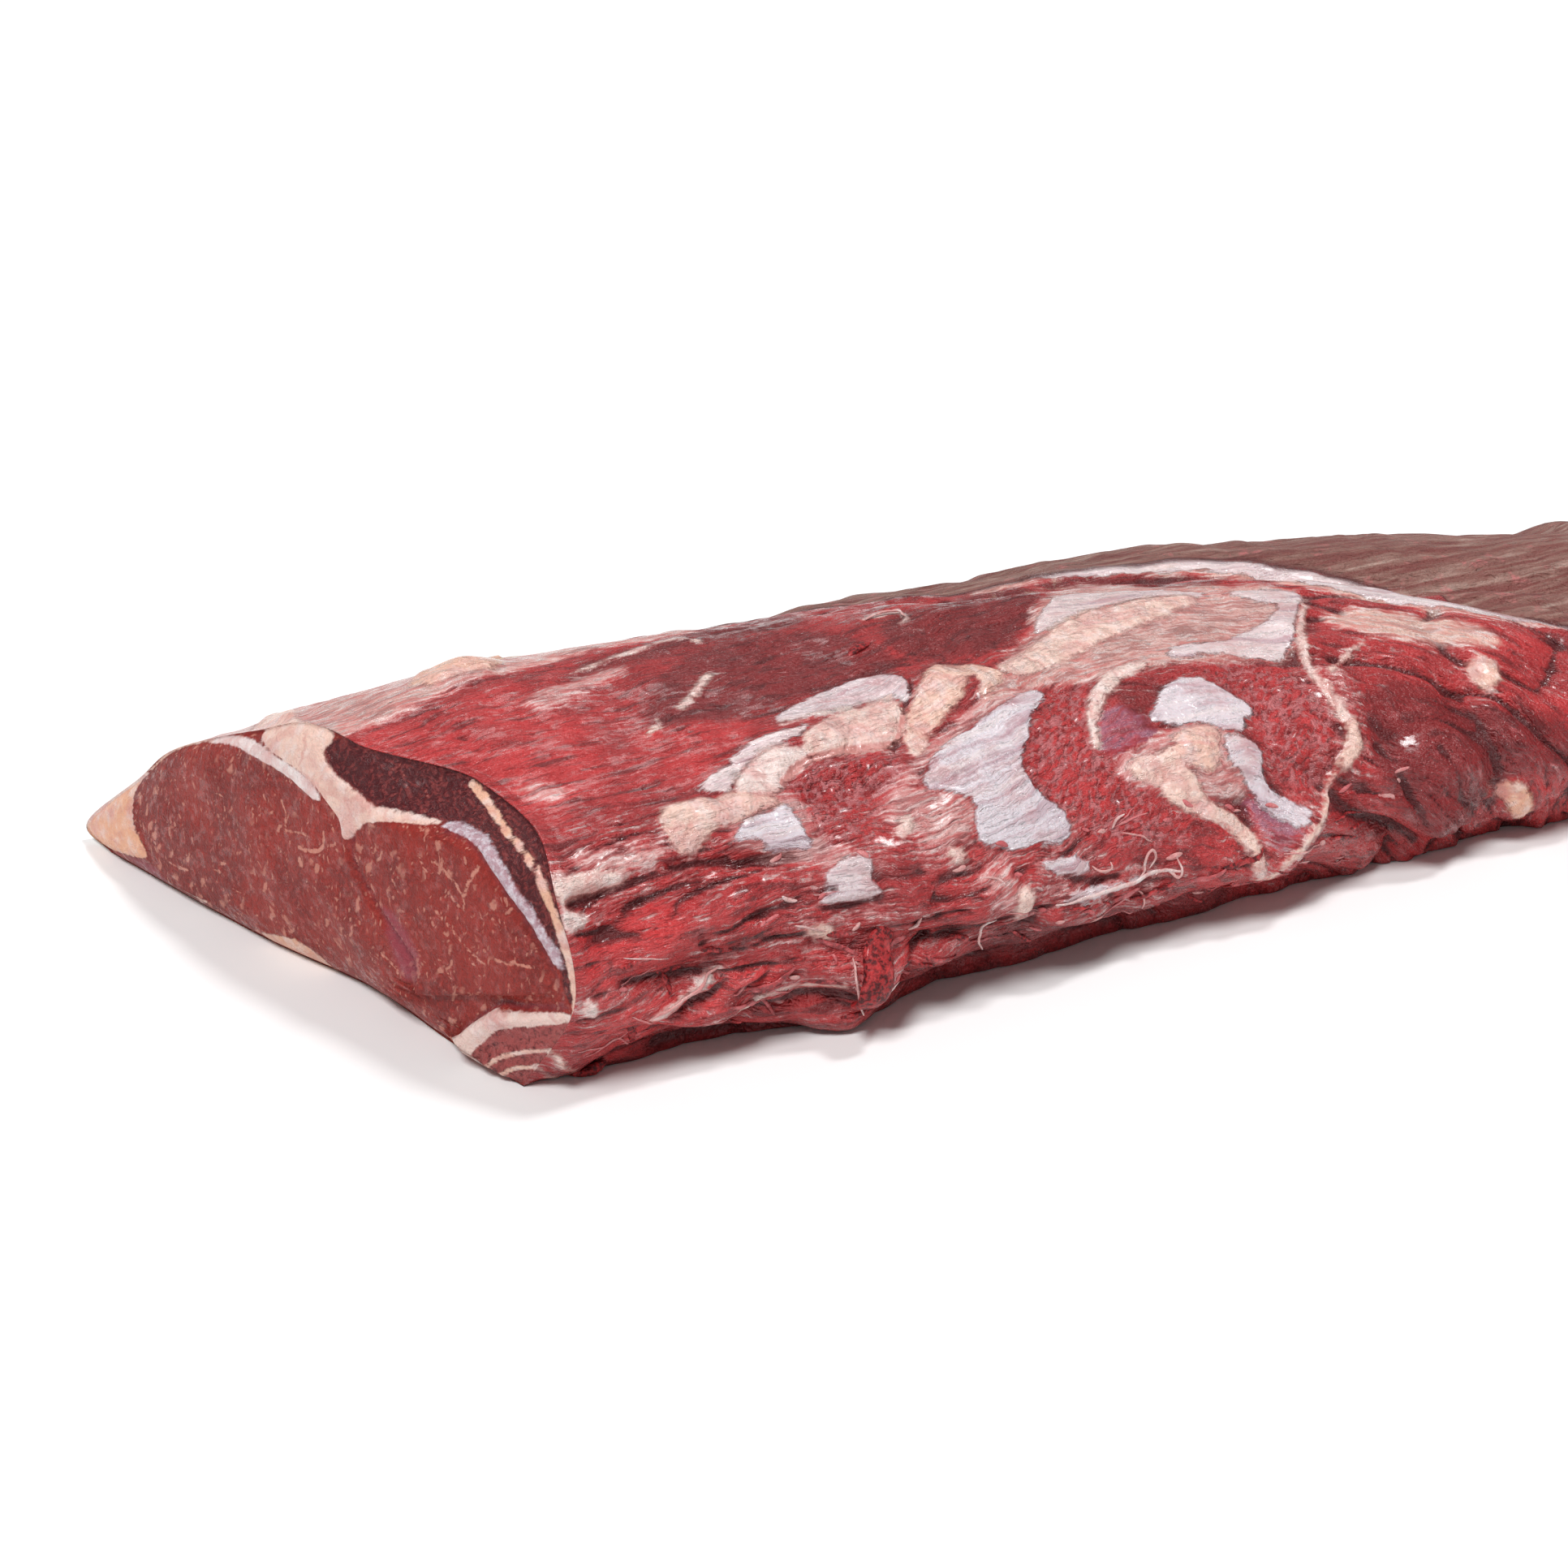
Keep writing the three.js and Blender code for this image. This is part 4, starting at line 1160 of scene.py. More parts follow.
points, faces, zones = stitch()
roast = addMesh("roast", points, faces)
bottomCount = rowCount * (fineness["bottomSteps"] - 1)
cutCount = len(cutMoved) - len(nearLoop)
farCount = len(farMoved) - len(farLoop)


def overAll(skinValues, cutValues, farValues=None, bottomValue=-farAway):
    # one value for each vertex: skin, underside, cut end and far end in turn
    bottom = np.full(bottomCount, float(bottomValue))
    if farValues is None:
        farValues = np.full(farCount, -farAway)
    return np.concatenate([skinValues, bottom, cutValues[:cutCount], farValues[:farCount]])


onSkinOnly = {
    "fat": fat, "silver": silver, "silverTint": silverTint, "film": film, "filmTint": filmTint,
    "crumb": crumb, "dark": dark, "bright": bright, "smear": smeared, "lobe": lobe,
}
nowhere = np.full(len(cutPoints), -farAway)
middling = np.full(farCount, 0.5)
for name, values in onSkinOnly.items():
    store(roast, name, overAll(values, nowhere))
store(roast, "fatTint", overAll(fatTint, cutFatTint, np.full(farCount, 0.6)))
store(roast, "cap", overAll(cap, nowhere, bottomValue=2))
store(roast, "open", overAll(opening, nowhere * 0 + 0.5, middling, 0.5))
store(roast, "footShare", overAll(footShare, nowhere * 0, middling * 0, 0))
store(roast, "grain", np.concatenate([grain, points[len(grain):] * np.array([1, 1, 0])]))


def cutOverAll(cutValues, farValues):
    # the ends share the skin's edge vertices, so their own outlines are kept under names of their own
    skinPart = np.full((rowCount, columnCount), -farAway)
    skinPart[0] = cutValues[-len(nearLoop):][:columnCount]
    skinPart[-1] = farValues[-len(farLoop):][:columnCount]
    return np.concatenate([skinPart.ravel(), np.full(bottomCount, -farAway),
                           cutValues[:cutCount], farValues[:farCount]])


farNowhere = np.full(len(farPoints), -farAway)
onEnds = {
    "cutFat": (cutFatEdge, farFatEdge), "cutFatTint": (cutFatTint, farNowhere * 0 + 0.55),
    "cutSilver": (cutSilverEdge, farNowhere), "cutStrip": (cutStripEdge, farNowhere),
    "cutCorner": (cutCornerEdge, farNowhere), "cutVein": (cutVeinEdge, farNowhere),
    "cutSeam": (cutSeamEdge, 0.9 - farSeam), "cutBruise": (cutBruiseEdge, farNowhere),
}
for name, (nearValues, farValues) in onEnds.items():
    store(roast, name, cutOverAll(nearValues, farValues))
print("roast mesh", len(points), "points", len(faces), "faces")


# Shader maths as plain expressions


class Wire:
    def __init__(self, graph, socket):
        self.graph = graph
        self.socket = socket

    def maths(self, operation, first, second=None):
        sockets = {0: first} if second is None else {0: first, 1: second}
        return self.graph.node("ShaderNodeMath", {"operation": operation}, sockets)

    def __add__(self, other):
        return self.maths("ADD", self, other)

    def __radd__(self, other):
        return self.maths("ADD", other, self)

    def __sub__(self, other):
        return self.maths("SUBTRACT", self, other)

    def __rsub__(self, other):
        return self.maths("SUBTRACT", other, self)

    def __mul__(self, other):
        return self.maths("MULTIPLY", self, other)

    def __rmul__(self, other):
        return self.maths("MULTIPLY", other, self)

    def high(self, other):
        return self.maths("MAXIMUM", self, other)

    def low(self, other):
        return self.maths("MINIMUM", self, other)

    def size(self):
        return self.maths("ABSOLUTE", self)

    def step(self, low, high):
        # eases from 0 at "low" to 1 at "high"
        settings = {"interpolation_type": "SMOOTHSTEP", "clamp": True}
        sockets = {0: self, 1: low, 2: high, 3: 0.0, 4: 1.0}
        return self.graph.node("ShaderNodeMapRange", settings, sockets)


class Graph:
    def __init__(self, name):
        self.material = bpy.data.materials.new(name)
        self.material.use_nodes = True
        self.tree = self.material.node_tree
        self.tree.nodes.clear()

    def node(self, kind, settings=None, sockets=None, out=0):
        made = self.tree.nodes.new(kind)
        for key, value in (settings or {}).items():
            setattr(made, key, value)
        for key, value in (sockets or {}).items():
            if isinstance(value, Wire):
                self.tree.links.new(value.socket, made.inputs[key])
            else:
                made.inputs[key].default_value = value
        return Wire(self, made.outputs[out])

    def value(self, name):
        return self.node("ShaderNodeAttribute", {"attribute_name": name}, out="Fac")

    def vector(self, name):
        return self.node("ShaderNodeAttribute", {"attribute_name": name}, out="Vector")

    def mix(self, share, first, second):
        colours = [value if isinstance(value, Wire) else (*value, 1.0) for value in (first, second)]
        settings = {"data_type": "RGBA", "clamp_factor": True}
        return self.node("ShaderNodeMix", settings, {0: share, 6: colours[0], 7: colours[1]}, out=2)

    def place(self):
        # the surface's own place in millimetres
        spot = self.node("ShaderNodeTexCoord", out="Object")
        return self.node("ShaderNodeVectorMath", {"operation": "SCALE"}, {0: spot, "Scale": 1000.0})

    def stretch(self, vector, scale, tilt=0.0):
        turned = self.node("ShaderNodeMapping", {"vector_type": "POINT"}, {0: vector, 2: (tilt, 0.0, 0.0)})
        return self.node("ShaderNodeMapping", {"vector_type": "POINT"}, {0: turned, 3: scale})

    def noise(self, vector, scale, detail=2.0, roughness=0.5, distortion=0.0):
        return self.node("ShaderNodeTexNoise", {"noise_dimensions": "3D"}, {
            "Vector": vector, "Scale": scale, "Detail": detail, "Roughness": roughness,
            "Distortion": distortion})

    def cells(self, vector, scale, feature="F1"):
        return self.node("ShaderNodeTexVoronoi", {"feature": feature}, {"Vector": vector, "Scale": scale})

    def wetSurface(self, colour, rough, normal, coat, shine):
        # a wet surface that lets a little light in
        return self.finish({
            "Base Color": colour, "Roughness": rough, "Normal": normal, "Coat Weight": coat,
            "Coat Roughness": shine[0], "Specular IOR Level": shine[1],
            "Subsurface Weight": flesh["scatter"], "Subsurface Scale": flesh["scatterSize"],
            "Subsurface Radius": (1.0, 0.25, 0.18),
        })

    def finish(self, settings):
        shader = self.node("ShaderNodeBsdfPrincipled", None, settings)
        output = self.tree.nodes.new("ShaderNodeOutputMaterial")
        self.tree.links.new(shader.socket, output.inputs["Surface"])
        return self.material


weave = {  # how often each pattern repeats in a millimetre, along the fibres and then across them
    "broad": (0.060, 0.30, 1.0), "streak": (0.14, 0.85, 1.0), "thread": (0.30, 2.4, 1.0),
    "sheet": (0.022, 0.26, 1.0), "lengthwise": (0.018, 0.30, 0.30),
}
bumpDepth = {"skin": 0.0017, "cut": 0.0010, "shreds": 0.0011}  # metres
flesh = {
    "leanDeep": (0.085, 0.007, 0.009), "lean": (0.395, 0.026, 0.029), "leanBright": (0.610, 0.038, 0.041),
    "leanPink": (0.660, 0.170, 0.180),
    "fatWhite": (0.86, 0.74, 0.72), "fatCream": (0.84, 0.57, 0.48), "fatPeach": (0.82, 0.42, 0.26),
    "fatBlush": (0.58, 0.20, 0.18),
    "silverBlue": (0.74, 0.68, 0.74), "silverPink": (0.82, 0.63, 0.61), "silverDim": (0.50, 0.33, 0.38),
    "filmPink": (0.70, 0.37, 0.35), "filmPurple": (0.34, 0.12, 0.18),
    "crumbTop": (0.56, 0.19, 0.20),
    "lobeBrown": (0.27, 0.125, 0.100), "lobeRed": (0.20, 0.050, 0.042), "lobePale": (0.50, 0.33, 0.28),
    "capCream": (0.70, 0.50, 0.38), "capRed": (0.30, 0.06, 0.05),
    "wetRoughness": 0.42, "fatRoughness": 0.38, "silverRoughness": 0.27, "dryRoughness": 0.62,
    "scatter": 0.08, "scatterSize": 0.003,
    "skinShine": (0.16, 0.50), "cutShine": (0.12, 0.28), "shredShine": (0.12, 0.30),  # coat, specular
}


def fatLobes(graph, spots):
    # rounded lobes of fat, from 0 in the creases between them to 1
    settings = {"noise_dimensions": "3D"}
    waver = graph.node("ShaderNodeTexNoise", settings, {"Vector": spots, "Scale": 0.25}, "Color")
    pushed = graph.node("ShaderNodeVectorMath", {"operation": "SCALE"}, {0: waver, "Scale": 9.0})
    bent = graph.node("ShaderNodeVectorMath", {"operation": "ADD"}, {0: spots, 1: pushed})
    return graph.cells(bent, 0.085, "DISTANCE_TO_EDGE").step(0.0, 0.30)


def fatColour(graph, spots, tint, lobes):
    white = graph.mix((tint * 2).low(1.0), flesh["fatWhite"], flesh["fatCream"])
    colour = graph.mix((tint * 2 - 1).high(0.0), white, flesh["fatPeach"])
    colour = graph.mix(graph.noise(spots, 0.10, 3.0).step(0.45, 0.70) * 0.60, colour, flesh["filmPink"])
    colour = graph.mix(graph.noise(spots, 0.22, 2.0).step(0.45, 0.70) * 0.45, colour, flesh["fatWhite"])
    thin = (graph.noise(spots, 0.14, 3.0, 0.6, 0.8) - 0.5).size()
    vein = (1 - thin.step(0.0, 0.03)) * graph.noise(spots, 0.09, 2.0).step(0.46, 0.6)
    colour = graph.mix(vein * 0.25, colour, flesh["fatBlush"])
    # the creases between lobes turn blush: partly pink tissue showing through, partly painted shade
    crease = lobes.step(0.40, 0.0) * graph.noise(spots, 0.12, 2.0).step(0.42, 0.56)
    return graph.mix(crease * 0.35, colour, flesh["fatBlush"])


def skinMaterial():
    graph = Graph("skin")
    spots = graph.place()
    fibre = graph.vector("grain")
    waver = (graph.noise(spots, 0.16, 2.0) - 0.5) * 3.0
    sideways = graph.node("ShaderNodeCombineXYZ", None, {0: waver, 1: waver, 2: 0.0})
    fibre = graph.node("ShaderNodeVectorMath", {"operation": "ADD"}, {0: fibre, 1: sideways})
    broadStreak = graph.noise(graph.stretch(fibre, weave["broad"]), 1.0, 4.0, 0.62)
    streak = graph.noise(graph.stretch(fibre, weave["streak"]), 1.0, 3.0, 0.6)
    thread = graph.noise(graph.stretch(fibre, weave["thread"]), 1.0, 2.0, 0.6)
    blotch = graph.noise(spots, 0.05, 3.0, 0.6)
    patchy = graph.noise(spots, 0.13, 3.0, 0.6)
    fine = graph.noise(spots, 0.55, 3.0, 0.6)

    # top: how far each point stands above its surroundings, 0 in clefts and 1 on tops; it paints shade into
    # the clefts below
    top = graph.value("open")
    foot = graph.value("footShare")
    fatSpan = graph.value("fat")
    silverSpan = graph.value("silver")
    filmSpan = graph.value("film")
    nearSheet = fatSpan.high(silverSpan).high(filmSpan)
    ragged = (patchy - 0.5) * 7.0 + (fine - 0.5) * 4.0
    frayed = (broadStreak - 0.5) * 9.0 + (streak - 0.5) * 7.0

    bright = (graph.value("bright") + ragged * 1.2 + 1.0).step(-3.0, 4.0)
    dark = (graph.value("dark") + frayed + ragged * 0.6).step(-3.0, 3.0)
    lean = graph.mix(blotch.step(0.38, 0.62) * 0.6 + bright * 0.5, flesh["lean"], flesh["leanBright"])
    # darker lean: partly its own tone, partly painted shade in the fold, under the knots and along the foot
    lean = graph.mix(dark * 0.6, lean, flesh["leanDeep"])
    lean = graph.mix(broadStreak.step(0.50, 0.34) * 0.70, lean, flesh["leanDeep"])
    # painted shade: the lean darkens towards leanDeep in the clefts of the relief
    lean = graph.mix(top.step(0.45, 0.08) * 0.92, lean, flesh["leanDeep"])
    clustered = patchy.step(0.42, 0.60)
    # pink streaks of the lean's own fibres, laid more strongly on the relief's tops as painted highlight
    lean = graph.mix(streak.step(0.50, 0.70) * clustered * (0.15 + top * 0.45), lean, flesh["leanPink"])
    lean = graph.mix(thread.step(0.52, 0.72) * 0.12, lean, flesh["leanPink"])

    halo = nearSheet.step(-9.0, 1.0)
    smeared = (graph.value("smear") + ragged).step(-5.0, 5.0)
    smearNoise = broadStreak * 0.40 + streak * 0.35 + fine * 0.10 + patchy * 0.15
    smear = (smearNoise + halo * 0.068 + smeared * 0.056 - bright * 0.045 - dark * 0.03).step(0.550, 0.670)
    # the pale smears fade out in the clefts, which keep their painted shade
    smear = smear * (0.45 + fine.step(0.35, 0.55) * 0.5) * top.step(0.15, 0.5)
    smearPaint = graph.mix(streak.step(0.50, 0.66), flesh["leanPink"], flesh["fatWhite"])
    smearPaint = graph.mix(0.45, smearPaint, flesh["filmPink"])
    lean = graph.mix(smear * 0.9, lean, smearPaint)

    cell = graph.cells(graph.stretch(fibre, (0.8, 1.0, 1.0)), 0.52)
    crumb = (graph.value("crumb") + ragged).step(-3.0, 3.0)
    web = (cell + (fine - 0.5) * 1.1 + (patchy - 0.5) * 0.5).step(0.38, 0.80) * crumb
    lean = graph.mix(crumb * 0.35, lean, flesh["leanBright"])
    lean = graph.mix(web * 0.7, lean, flesh["crumbTop"])

    film = (filmSpan + ragged * 0.6 + frayed * 0.7).step(-2.5, 2.5)
    filmTint = graph.value("filmTint")
    filmColour = graph.mix(filmTint.step(0.0, 0.35), flesh["fatCream"], flesh["filmPink"])
    filmColour = graph.mix(filmTint.step(0.65, 1.0), filmColour, flesh["filmPurple"])
    filmColour = graph.mix(streak.step(0.46, 0.66) * (1 - filmTint) * 0.8, filmColour, flesh["fatWhite"])
    veil = 0.25 + (broadStreak * 0.6 + streak * 0.4).step(0.40, 0.58) * 0.65
    veil = veil.high(filmTint.step(0.35, 0.15) * 0.45)
    colour = graph.mix(film * veil, lean, filmColour)

    silver = (silverSpan + ragged * 0.40 + frayed * 0.40).step(-0.7, 0.6)
    silverColour = graph.mix(graph.value("silverTint"), flesh["silverBlue"], flesh["silverPink"])
    sheetStreak = graph.noise(graph.stretch(fibre, weave["sheet"]), 1.0, 3.0, 0.55)
    silverColour = graph.mix(sheetStreak.step(0.50, 0.34) * 0.75, silverColour, flesh["silverDim"])
    silverColour = graph.mix(sheetStreak.step(0.52, 0.68) * 0.45, silverColour, flesh["fatWhite"])
    silverColour = graph.mix(thread.step(0.40, 0.34) * 0.10, silverColour, flesh["silverDim"])
    sheer = (broadStreak * 0.5 + blotch * 0.5).step(0.36, 0.52)
    colour = graph.mix(silver * (0.50 + sheer * 0.48), colour, silverColour)

    fatEdge = (fatSpan + ragged * 0.55 + frayed * 0.45).step(-1.4, 1.0)
    lobes = fatLobes(graph, spots)
    fatPaint = fatColour(graph, spots, graph.value("fatTint"), lobes)
    # painted shade: the fat turns darker blush in the clefts of the relief
    fatPaint = graph.mix(top.step(0.52, 0.15) * 0.8, fatPaint, flesh["fatBlush"])
    fatPaint = graph.mix(sheetStreak.step(0.56, 0.70) * 0.3, fatPaint, flesh["leanPink"])
    colour = graph.mix(fatEdge * (0.86 + fine.step(0.3, 0.5) * 0.14), colour, fatPaint)

    lengthwise = graph.noise(graph.stretch(spots, weave["lengthwise"]), 1.0, 5.0, 0.68, 0.4)
    capBlotch = graph.noise(spots, 0.03, 4.0, 0.6).step(0.5, 0.66)
    capPaint = graph.mix(capBlotch, flesh["capCream"], flesh["capRed"])
    capPaint = graph.mix(lengthwise.step(0.55, 0.75) * 0.5, capPaint, flesh["fatWhite"])
    cap = (graph.value("cap") + ragged * 0.5).step(-0.8, 0.8)
    colour = graph.mix(cap, colour, capPaint)
    lobePaint = graph.mix(lengthwise.step(0.36, 0.56), flesh["lobeRed"], flesh["lobeBrown"])
    paleShare = lengthwise.step(0.50, 0.72) * blotch.step(0.35, 0.6)
    lobePaint = graph.mix(paleShare, lobePaint, flesh["lobePale"])
    pinkShare = patchy.step(0.56, 0.70) * lengthwise.step(0.42, 0.56) * 0.6
    lobePaint = graph.mix(pinkShare, lobePaint, flesh["leanPink"])
    lobe = (graph.value("lobe") + ragged * 0.5).step(-1.0, 1.0)
    colour = graph.mix(lobe, colour, lobePaint)
    shadow = graph.value("lobe").step(-4.5, -0.5) * graph.value("lobe").step(4.5, 0.5)
    colour = graph.mix(shadow * 0.8, colour, flesh["leanDeep"])

    dry = lobe.high(cap * 0.5)
    sheet = fatEdge.high(silver).high(film * 0.6)
    wet = (streak * 0.40 + patchy * 0.35 + fine * 0.25).step(0.46, 0.56) * (1 - dry)
    wet = wet.high(silver * 0.7)
    rough = flesh["wetRoughness"] + fatEdge * (flesh["fatRoughness"] - flesh["wetRoughness"])
    rough = rough + silver * (flesh["silverRoughness"] - flesh["wetRoughness"])
    rough = rough + dry * (flesh["dryRoughness"] - flesh["wetRoughness"]) + (fine - 0.5) * 0.20 - wet * 0.26

    bumps = (broadStreak * 1.5 + streak * 1.0 + thread * 0.15) * (1 - sheet * 0.92)
    bumps = bumps + lobes * fatEdge * 0.35
    bumps = bumps + web * (1 - sheet) * 0.30 + fatEdge * 0.30 + silver * 0.25 + smear * 0.25
    beads = graph.noise(spots, 0.95, 1.0)
    bumps = bumps + fine * (0.55 - sheet * 0.45) + patchy * sheet * 0.7 + sheetStreak * silver * 0.5
    bumps = bumps + beads * (1 - sheet * 0.85) * 0.30
    normal = graph.node("ShaderNodeBump", None, {"Distance": bumpDepth["skin"], "Height": bumps})
    return graph.wetSurface(colour, rough, normal, wet * 0.4, flesh["skinShine"])


marbling = {
    "meat": (0.275, 0.022, 0.015), "meatDeep": (0.180, 0.013, 0.010), "meatBright": (0.42, 0.042, 0.032),
    "vein": (0.66, 0.27, 0.20), "strip": (0.075, 0.008, 0.011), "stripFibre": (0.20, 0.030, 0.030),
    "corner": (0.38, 0.080, 0.076), "bruise": (0.16, 0.030, 0.045), "film": (0.32, 0.06, 0.09),
}


def cutMaterial():
    graph = Graph("cutFace")
    spots = graph.place()
    fine = graph.noise(spots, 0.6, 3.0, 0.6)
    broad = graph.noise(spots, 0.045, 3.0)
    grainy = graph.noise(spots, 1.6, 2.0)
    meat = graph.mix(broad.step(0.40, 0.60), marbling["meatDeep"], marbling["meat"])
    meat = graph.mix(fine.step(0.42, 0.72) * 0.55, meat, marbling["meatBright"])
    meat = graph.mix(grainy.step(0.55, 0.75) * 0.35, meat, marbling["meatBright"])

    waver = (graph.noise(spots, 0.22, 2.0) - 0.5) * 5.0
    sideways = graph.node("ShaderNodeCombineXYZ", None, {0: 0.0, 1: waver, 2: waver})
    bent = graph.node("ShaderNodeVectorMath", {"operation": "ADD"}, {0: spots, 1: sideways})
    slant = graph.stretch(bent, (1.0, 1.0, 0.30), -0.55)
    lines = graph.noise(slant, 0.9, 4.0, 0.6)
    meat = graph.mix(lines.step(0.52, 0.68) * 0.45, meat, marbling["meatBright"])
    meat = graph.mix(lines.step(0.48, 0.34) * 0.55, meat, marbling["meatDeep"])
    long = graph.cells(slant, 0.27) + (fine - 0.5) * 0.36
    dash = long.step(0.32, 0.17) * graph.noise(spots, 0.085, 2.0).step(0.40, 0.56)
    short = graph.cells(graph.stretch(bent, (1.0, 1.0, 0.5), -0.3), 0.58) + (fine - 0.5) * 0.36
    fleck = short.step(0.30, 0.15) * graph.noise(spots, 0.12, 1.0).step(0.36, 0.55)
    drawn = (graph.value("cutVein") + (fine - 0.5) * 1.8).step(-0.15, 0.35)
    marble = (dash * 0.85).high(fleck * 0.75).high(drawn)

    ragged = (graph.noise(spots, 0.35, 3.0) - 0.5) * 2.6
    strip = (graph.value("cutStrip") + ragged * 0.5).step(-0.6, 0.6)
    corner = (graph.value("cutCorner") + ragged * 0.5).step(-0.5, 0.5)
    fat = (graph.value("cutFat") + ragged * 0.42 + (fine - 0.5) * 1.2).step(-0.35, 0.35)
    silver = (graph.value("cutSilver") + ragged * 0.55 + (fine - 0.5) * 1.6).step(-0.5, 0.6)
    seam = (graph.value("cutSeam") + ragged * 0.4).step(-0.6, 0.4)
    bruise = (graph.value("cutBruise") + ragged).step(-1.8, 1.8)

    colour = graph.mix(marble * (1 - strip) * 0.8, meat, marbling["vein"])
    threads = graph.noise(graph.stretch(bent, (1.0, 0.16, 1.0), 0.75), 0.8, 3.0, 0.6)
    # the strip's dark colour: partly its own, partly painted shade of the face slanting back under the rim
    stripPaint = graph.mix(threads.step(0.45, 0.65), marbling["strip"], marbling["stripFibre"])
    stripPaint = graph.mix(threads.step(0.66, 0.76) * 0.5, stripPaint, marbling["vein"])
    colour = graph.mix(strip, colour, stripPaint)
    # painted shade: random dark patches of the strip colour stand in for the shadows between the corner's
    # arcs
    cornerShade = fine.step(0.50, 0.36) * 0.6 + lines.step(0.48, 0.36) * 0.4
    cornerPaint = graph.mix(cornerShade, marbling["corner"], marbling["strip"])
    colour = graph.mix(corner * 0.85, colour, cornerPaint)
    colour = graph.mix(bruise * 0.65, colour, marbling["film"])
    colour = graph.mix(seam * 0.45, colour, marbling["bruise"])
    silverPaint = graph.mix(fine.step(0.4, 0.7), flesh["silverDim"], flesh["silverBlue"])
    colour = graph.mix(silver * 0.9, colour, silverPaint)
    fatPaint = fatColour(graph, spots, graph.value("cutFatTint"), fatLobes(graph, spots))
    colour = graph.mix(fat, colour, fatPaint)

    bumps = fine * 0.6 + grainy * 0.3 + lines * 0.5 + marble * 0.12 + fat * 0.3 + threads * strip * 0.8
    sockets = {"Strength": 0.9, "Distance": bumpDepth["cut"], "Height": bumps}
    normal = graph.node("ShaderNodeBump", None, sockets)
    wet = graph.noise(spots, 0.30, 3.0, 0.6).step(0.52, 0.62).high(silver * 0.8)
    rough = 0.46 + (fine - 0.5) * 0.3 - wet * 0.22
    return graph.wetSurface(colour, rough, normal, wet * 0.25, flesh["cutShine"])


roast.data.materials.append(skinMaterial())
roast.data.materials.append(cutMaterial())
roast.data.polygons.foreach_set("material_index", np.minimum(zones, 1).astype(np.int32))
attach(roast, "root")
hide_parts(nodeName)
print("materials made")


# Loose shreds of meat, sinew and fat on the skin: thin closed strips that follow the surface

shredKinds = [
    {"name": "lean shreds", "count": 46, "places": (0.15, 4.0), "guides": (0.2, 1.25), "long": (6, 15),
     "wide": (1.0, 2.6), "thick": 1.0, "lift": 0.2, "pale": (0.0, 0.4)},
    {"name": "sinew threads", "count": 26, "places": (0.1, 4.0), "guides": (0.3, 1.7), "long": (6, 16),
     "wide": (0.4, 0.9), "thick": 0.5, "lift": 0.25, "pale": (0.55, 0.95)},
    {"name": "fat crumbs", "count": 40, "places": (0.1, 4.2), "guides": (0.4, 1.9), "long": (2, 5),
     "wide": (0.9, 2.0), "thick": 0.9, "lift": 0.1, "pale": (0.4, 0.95)},
]
namedShreds = [  # pixels of the photograph with the height above the skin in mm
    {"name": "flap", "wide": 10.5, "thick": 3.0, "pale": 0.08, "path": [
        (1100, 1150, -0.6), (1086, 1168, 1.2), (1074, 1186, 2.2), (1062, 1204, 2.8), (1050, 1222, 2.6)]},
    {"name": "light edge of the flap", "wide": 0.9, "thick": 0.9, "pale": 0.9, "path": [
        (1052, 1180, 1.4), (1049, 1196, 3.0), (1050, 1212, 4.2), (1053, 1222, 4.2)]},
    {"name": "hanging strand", "wide": 0.9, "thick": 0.8, "pale": 1.0, "path": [
        (1234, 1138, 0.4), (1222, 1144, 1.0), (1214, 1152, 1.8), (1213, 1166, 2.0), (1217, 1182, 2.0)]},
    {"name": "white sinew", "wide": 1.4, "thick": 0.8, "pale": 1.0, "path": [
        (1305, 1118, 0.4), (1351, 1102, 1.0), (1392, 1090, 1.2), (1422, 1077, 1.4), (1453, 1069, 2.2)]},
    {"name": "upper curl", "wide": 1.0, "thick": 0.7, "pale": 0.95, "path": [
        (1404, 1084, 0.6), (1412, 1070, 1.4), (1408, 1056, 2.0), (1416, 1048, 2.4), (1424, 1056, 2.0),
        (1420, 1068, 1.4)]},
    {"name": "lower curl", "wide": 0.9, "thick": 0.7, "pale": 0.95, "path": [
        (1424, 1078, 0.8), (1436, 1072, 1.8), (1448, 1078, 2.2), (1452, 1068, 2.4), (1446, 1056, 2.0)]},
    {"name": "small curl", "wide": 0.8, "thick": 0.6, "pale": 0.9, "path": [
        (1345, 1068, 0.6), (1356, 1072, 1.2), (1366, 1068, 1.6), (1364, 1062, 1.6)]},
    {"name": "white curl on the crumbs", "wide": 0.9, "thick": 0.7, "pale": 1.0, "path": [
        (1372, 1020, 0.4), (1374, 1010, 1.2), (1380, 1005, 1.4)]},
    {"name": "bead on the top", "wide": 3.6, "thick": 1.8, "pale": 0.2, "path": [
        (1046, 810, 0.0), (1058, 800, 0.5), (1072, 796, 0.2)]},
    {"name": "curl on the ridge", "wide": 1.2, "thick": 0.8, "pale": 0.9, "path": [
        (1068, 766, 0.3), (1084, 760, 1.0), (1104, 756, 1.2), (1116, 762, 0.8)]},
    {"name": "lip of the roll", "wide": 1.2, "thick": 0.8, "pale": 0.8, "path": [
        (800, 1252, 0.2), (835, 1236, 0.9), (870, 1218, 1.0), (895, 1202, 0.3)]},
    {"name": "red block at the corner", "wide": 6.0, "thick": 3.4, "pale": 0.15, "path": [
        (706, 1330, 0.4), (722, 1322, 1.0), (742, 1312, 0.6)]},
]


